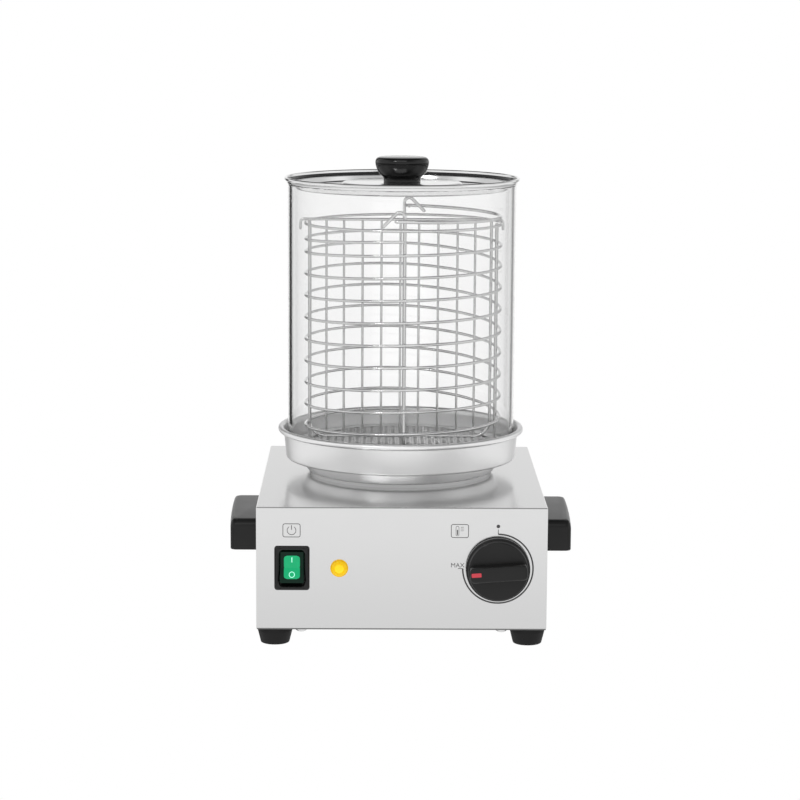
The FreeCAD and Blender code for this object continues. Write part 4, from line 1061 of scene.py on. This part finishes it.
def thermostat_knob():
    """A round skirt with a bar grip across it and the pointer printed on the grip's end."""
    start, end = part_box("thermostat_knob")
    centre = Vector((middle("thermostat_knob").x, FRONT, CONTROL_HEIGHT))
    turn = Matrix.Translation(centre) @ FORWARD @ Matrix.Rotation(math.radians(4), 4, "Z")
    upright = Matrix.Rotation(-QUARTER, 4, "X")
    wide = (end.x - start.x) / 2
    back = 1.6 * MM
    face = back + 10.6 * MM
    bore, bore_end = 3.05 * MM, 10.2 * MM
    flange = back + 4.2 * MM
    step, step_level = wide - 1.4 * MM, back + 4.8 * MM
    flange_edge, step_edge, face_edge = 1.0 * MM, 0.5 * MM, 1.3 * MM
    skirt = turned("skirt", [
        (0, bore_end),
        (bore, bore_end),
        (bore, back),
        (wide, back, step_edge),
        (wide, flange, flange_edge),
        (step, step_level, step_edge),
        (wide - 2.2 * MM, face, face_edge),
        (0, face),
    ], centre=Vector((0, 0, 0)), steps=5, segments=128)
    grip_length, grip_width, grip_corner, grip_edge = 47 * MM, 13 * MM, 3.5 * MM, 2.2 * MM
    grip_foot, grip_top = face - 1.2 * MM, face + 10.5 * MM
    grip_plan = rectangle(grip_length, grip_width, 0, 0, grip_corner)
    grip = slab("grip", grip_plan, -grip_foot, -grip_top, grip_edge, 5)
    grip.transform(upright)
    dial = joined("dial", [skirt, grip])
    dial.transform(turn)
    finish("dial", dial, BLACK_PLASTIC, "thermostat", ["thermostat_knob"])
    mark_sunk, mark_proud = 0.05 * MM, 0.12 * MM
    outline = rectangle(8 * MM, 3.4 * MM, -18.4 * MM, 0.6 * MM, 0.6 * MM)
    mark = slab("pointer", outline, mark_sunk - grip_top, -mark_proud - grip_top)
    mark.transform(upright)
    mark.transform(turn)
    finish("pointer", mark, RED_PRINT, "thermostat")


# What is printed on the front panel.

PRINT_LIFT = 0.06 * MM
THIN = 0.55 * MM


def flat_line(name, points, width, closed=False):
    """A printed line on the front panel, through (x, z) points."""
    path = [Vector((x, 0, z)) for x, z in points]
    outer, inner = [], []
    for spot, way in zip(path, directions(path, closed)):
        across = Vector((-way.z, 0, way.x)) * width / 2
        outer.append((spot.x + across.x, spot.z + across.z))
        inner.append((spot.x - across.x, spot.z - across.z))
    if closed:
        return ring_slab(name, outer, inner, FRONT, FRONT - PRINT_LIFT)
    return slab(name, outer + inner[::-1], FRONT, FRONT - PRINT_LIFT)


def arc(x, z, radius, start, end, steps=48):
    """Points on an arc, in degrees clockwise from the top."""
    angles = [math.radians(start + (end - start) * i / steps) for i in range(steps + 1)]
    return [(x + radius * math.sin(angle), z + radius * math.cos(angle)) for angle in angles]


def scale_lines(x, z):
    """The dial's arc with a tick at each end and a dot over the first."""
    radius, tick_end = 29 * MM, 33 * MM
    dot_radius, dot_level = 1.5 * MM, 35.6 * MM
    return [
        flat_line("scale", arc(x, z, radius, 0, 270, 96), 1.3 * MM),
        flat_line("zero tick", [(x, z + radius), (x, z + tick_end)], THIN),
        flat_line("end tick", [(x - radius, z), (x - tick_end, z)], THIN),
        slab("zero dot", arc(x, z + dot_level, dot_radius, 0, 345, 23), FRONT, FRONT - PRINT_LIFT),
    ]


def icon_frame(x, z):
    return flat_line("icon frame", rectangle(14.2 * MM, 11 * MM, x, z, 1.6 * MM), THIN, True)


def power_icon(x, z):
    """A ring that is open at the top, with a bar in the gap."""
    return [
        icon_frame(x, z),
        flat_line("power ring", arc(x, z, 3.6 * MM, 35, 325, 32), 0.5 * MM),
        flat_line("power bar", [(x, z + 0.6 * MM), (x, z + 4.4 * MM)], 0.6 * MM),
    ]


def heat_icon(x, z):
    """A thermometer with its column and three degree marks."""
    slim = 0.35 * MM
    tube = x - 2 * MM
    mark_start, mark_end = x + 0.6 * MM, x + 3.2 * MM
    lines = [
        icon_frame(x, z),
        flat_line("thermometer", rectangle(2.4 * MM, 8 * MM, tube, z, 1.15 * MM), slim, True),
        flat_line("column", [(tube, z - 3.2 * MM), (tube, z + 1.0 * MM)], 0.9 * MM),
    ]
    for drop in (0, 1.5 * MM, 3.0 * MM):
        level = z + 3.2 * MM - drop
        lines.append(flat_line("degree mark", [(mark_start, level), (mark_end, level)], slim))
    return lines


def panel_print():
    icon_level = 97.6 * MM
    lines = scale_lines(middle("thermostat_knob").x, CONTROL_HEIGHT)
    lines += power_icon(-90.8 * MM, icon_level) + heat_icon(47.7 * MM, icon_level)
    finish("panel_print", joined("panel_print", lines), PRINT, "base")
    half_lift = PRINT_LIFT / 2
    legend = bpy.data.curves.new("legend", "FONT")
    legend.body = "MAX"
    legend.size = 5.3 * MM
    legend.align_x = "CENTER"
    legend.extrude = half_lift
    holder = bpy.data.objects.new("legend", legend)
    mesh = bpy.data.meshes.new_from_object(holder)
    bpy.data.objects.remove(holder)
    mesh.transform(Matrix.Translation((46 * MM, FRONT - half_lift, 67 * MM)) @ FORWARD)
    finish("legend_print", mesh, PRINT, "base")


# CAD nodes that are shown as they are.
CAD_MATERIALS = [
    (SHEET_STEEL, ["housing"]),
    (BASE_SHEET_PAINTED_SHADE, ["base_plate"]),
    (PLATE_METAL, ["hot_plate"]),
    (IRON, ["heating_element"]),
    (BRASS, ["switch_terminals"]),
    (PALE_PLASTIC, ["terminal_block"]),
    (BLACK_PLASTIC, ["thermostat_body", "overheat_cutout", "cable_gland", "gland_nut"]),
    (FASTENER_STEEL, ["foot_screws", "foot_nuts", "handle_screws", "indicator_nut", "thermostat_screws",
                      "thermostat_shaft", "element_clamp", "clamp_stud", "clamp_nut", "lid_knob_screw"]),
]
for material, names in CAD_MATERIALS:
    for name in names:
        nodes[name].data.materials.clear()
        nodes[name].data.materials.append(material)

# The drawn pieces.
water_pan()
glass_cylinder()
sieve_plate()
lid()
lid_knob()
basket()
bail()
handle(-1)
handle(1)
feet()
base_screws()
switch()
lamp()
thermostat_knob()
panel_print()


# Light: two soft panels in a white surround, which is darker overhead, in strips at the sides
# and where the sheet looks.

def surround_level(graph, x, y, z):
    """How bright the surround is in each direction, for all but the camera."""
    ahead, under = -y, -z
    rear = y.smooth(0.1, 0.3)
    left_strip = (-x).smooth(0.26, 0.32) * (1 - (-x).smooth(0.50, 0.58)) * rear
    right_strip = x.smooth(0.33, 0.38) * (1 - x.smooth(0.50, 0.58)) * rear
    upper_rear = z.smooth(0.05, 0.3) * y.smooth(-0.2, 0.3)
    upper_front = ahead.smooth(0.2, 0.5) * z.smooth(0.25, 0.45)
    overhead = z.smooth(0.55, 0.85)
    ground = under.smooth(-0.02, 0.08) * (1 - under.smooth(0.22, 0.34))
    ground_sides = ground * (1 - abs(y).smooth(0.75, 0.95))
    ground_front = ground * ahead.smooth(0.75, 0.95)
    shade = (0.9 * left_strip + 0.55 * right_strip + 0.30 * upper_rear + 0.35 * upper_front
             + 0.66 * overhead + 0.5 * ground_sides + 0.05 * ground_front)
    return graph.maths("MAXIMUM", 1 - shade, 0.0)


def world():
    """The surround, with a plain white backdrop for the camera and behind what metal and glass show."""
    surround = bpy.data.worlds.new("studio")
    bpy.context.scene.world = surround
    surround.use_nodes = True
    surround.node_tree.nodes.clear()
    graph = Graph(surround.node_tree)
    x, y, z = graph.axes(graph.value("ShaderNodeTexCoord", output="Generated"))
    brightness = graph.blend(surround_level(graph, x, y, z), grey(0.0), grey(1.0))
    light = graph.value("ShaderNodeBackground", {"Color": brightness, "Strength": 1.0})
    plain = graph.value("ShaderNodeBackground", {"Color": (1, 1, 1, 1), "Strength": 1.0})
    path = graph.node("ShaderNodeLightPath")
    camera_ray, glossy_ray, transmission_ray = [
        Value(graph, path.outputs[word])
        for word in ("Is Camera Ray", "Is Glossy Ray", "Is Transmission Ray")]
    backdrop = y.smooth(0.93, 0.97) * (1 - z.smooth(0.03, 0.08))
    shown = graph.maths("MINIMUM", camera_ray + (glossy_ray + transmission_ray) * backdrop, 1.0)
    mix = graph.value("ShaderNodeMixShader", {"Fac": shown, 1: light, 2: plain})
    graph.node("ShaderNodeOutputWorld", {"Surface": mix})


def panel(name, place, target, width, height, power):
    """A soft light panel that faces a target."""
    lamp_data = bpy.data.lights.new(name, "AREA")
    lamp_data.shape = "RECTANGLE"
    lamp_data.size = width
    lamp_data.size_y = height
    lamp_data.energy = power
    light = bpy.data.objects.new(name, lamp_data)
    light.matrix_world = Matrix.Translation(place) @ (
        (Vector(target) - Vector(place)).to_track_quat("-Z", "Y").to_matrix().to_4x4())
    bpy.context.scene.collection.objects.link(light)


world()
panel("key", place=(-0.8, -1.1, 1.5), target=(0, 0, 0.3), width=0.3, height=0.2, power=2)
panel("front", place=(-0.2, -1.3, 1.9), target=(0, 0, 0.2), width=1.6, height=0.7, power=6)


# The camera, worked out from the outlines of the glass, the pan and the housing.

CAMERA_PLACE = (-0.021404, -2.21018, 0.53326)
CAMERA_PITCH = 0.1569
CAMERA_YAW = 0.00928
CAMERA_ROLL = 0.00582
CAMERA_FOCAL = 2562.85
PICTURE_WIDTH = 800
SENSOR_WIDTH = 36

camera_data = bpy.data.cameras.new("camera")
camera_data.sensor_width = SENSOR_WIDTH
camera_data.lens = SENSOR_WIDTH * CAMERA_FOCAL / PICTURE_WIDTH
camera_data.clip_start = 0.1
camera_data.clip_end = 20
camera = bpy.data.objects.new("camera", camera_data)
camera.matrix_world = (
    Matrix.Translation(CAMERA_PLACE)
    @ Matrix.Rotation(-CAMERA_YAW, 4, "Z")
    @ Matrix.Rotation(QUARTER - CAMERA_PITCH, 4, "X")
    @ Matrix.Rotation(CAMERA_ROLL, 4, "Z")
)
bpy.context.scene.collection.objects.link(camera)
bpy.context.scene.camera = camera
bpy.context.scene.view_settings.view_transform = "Standard"
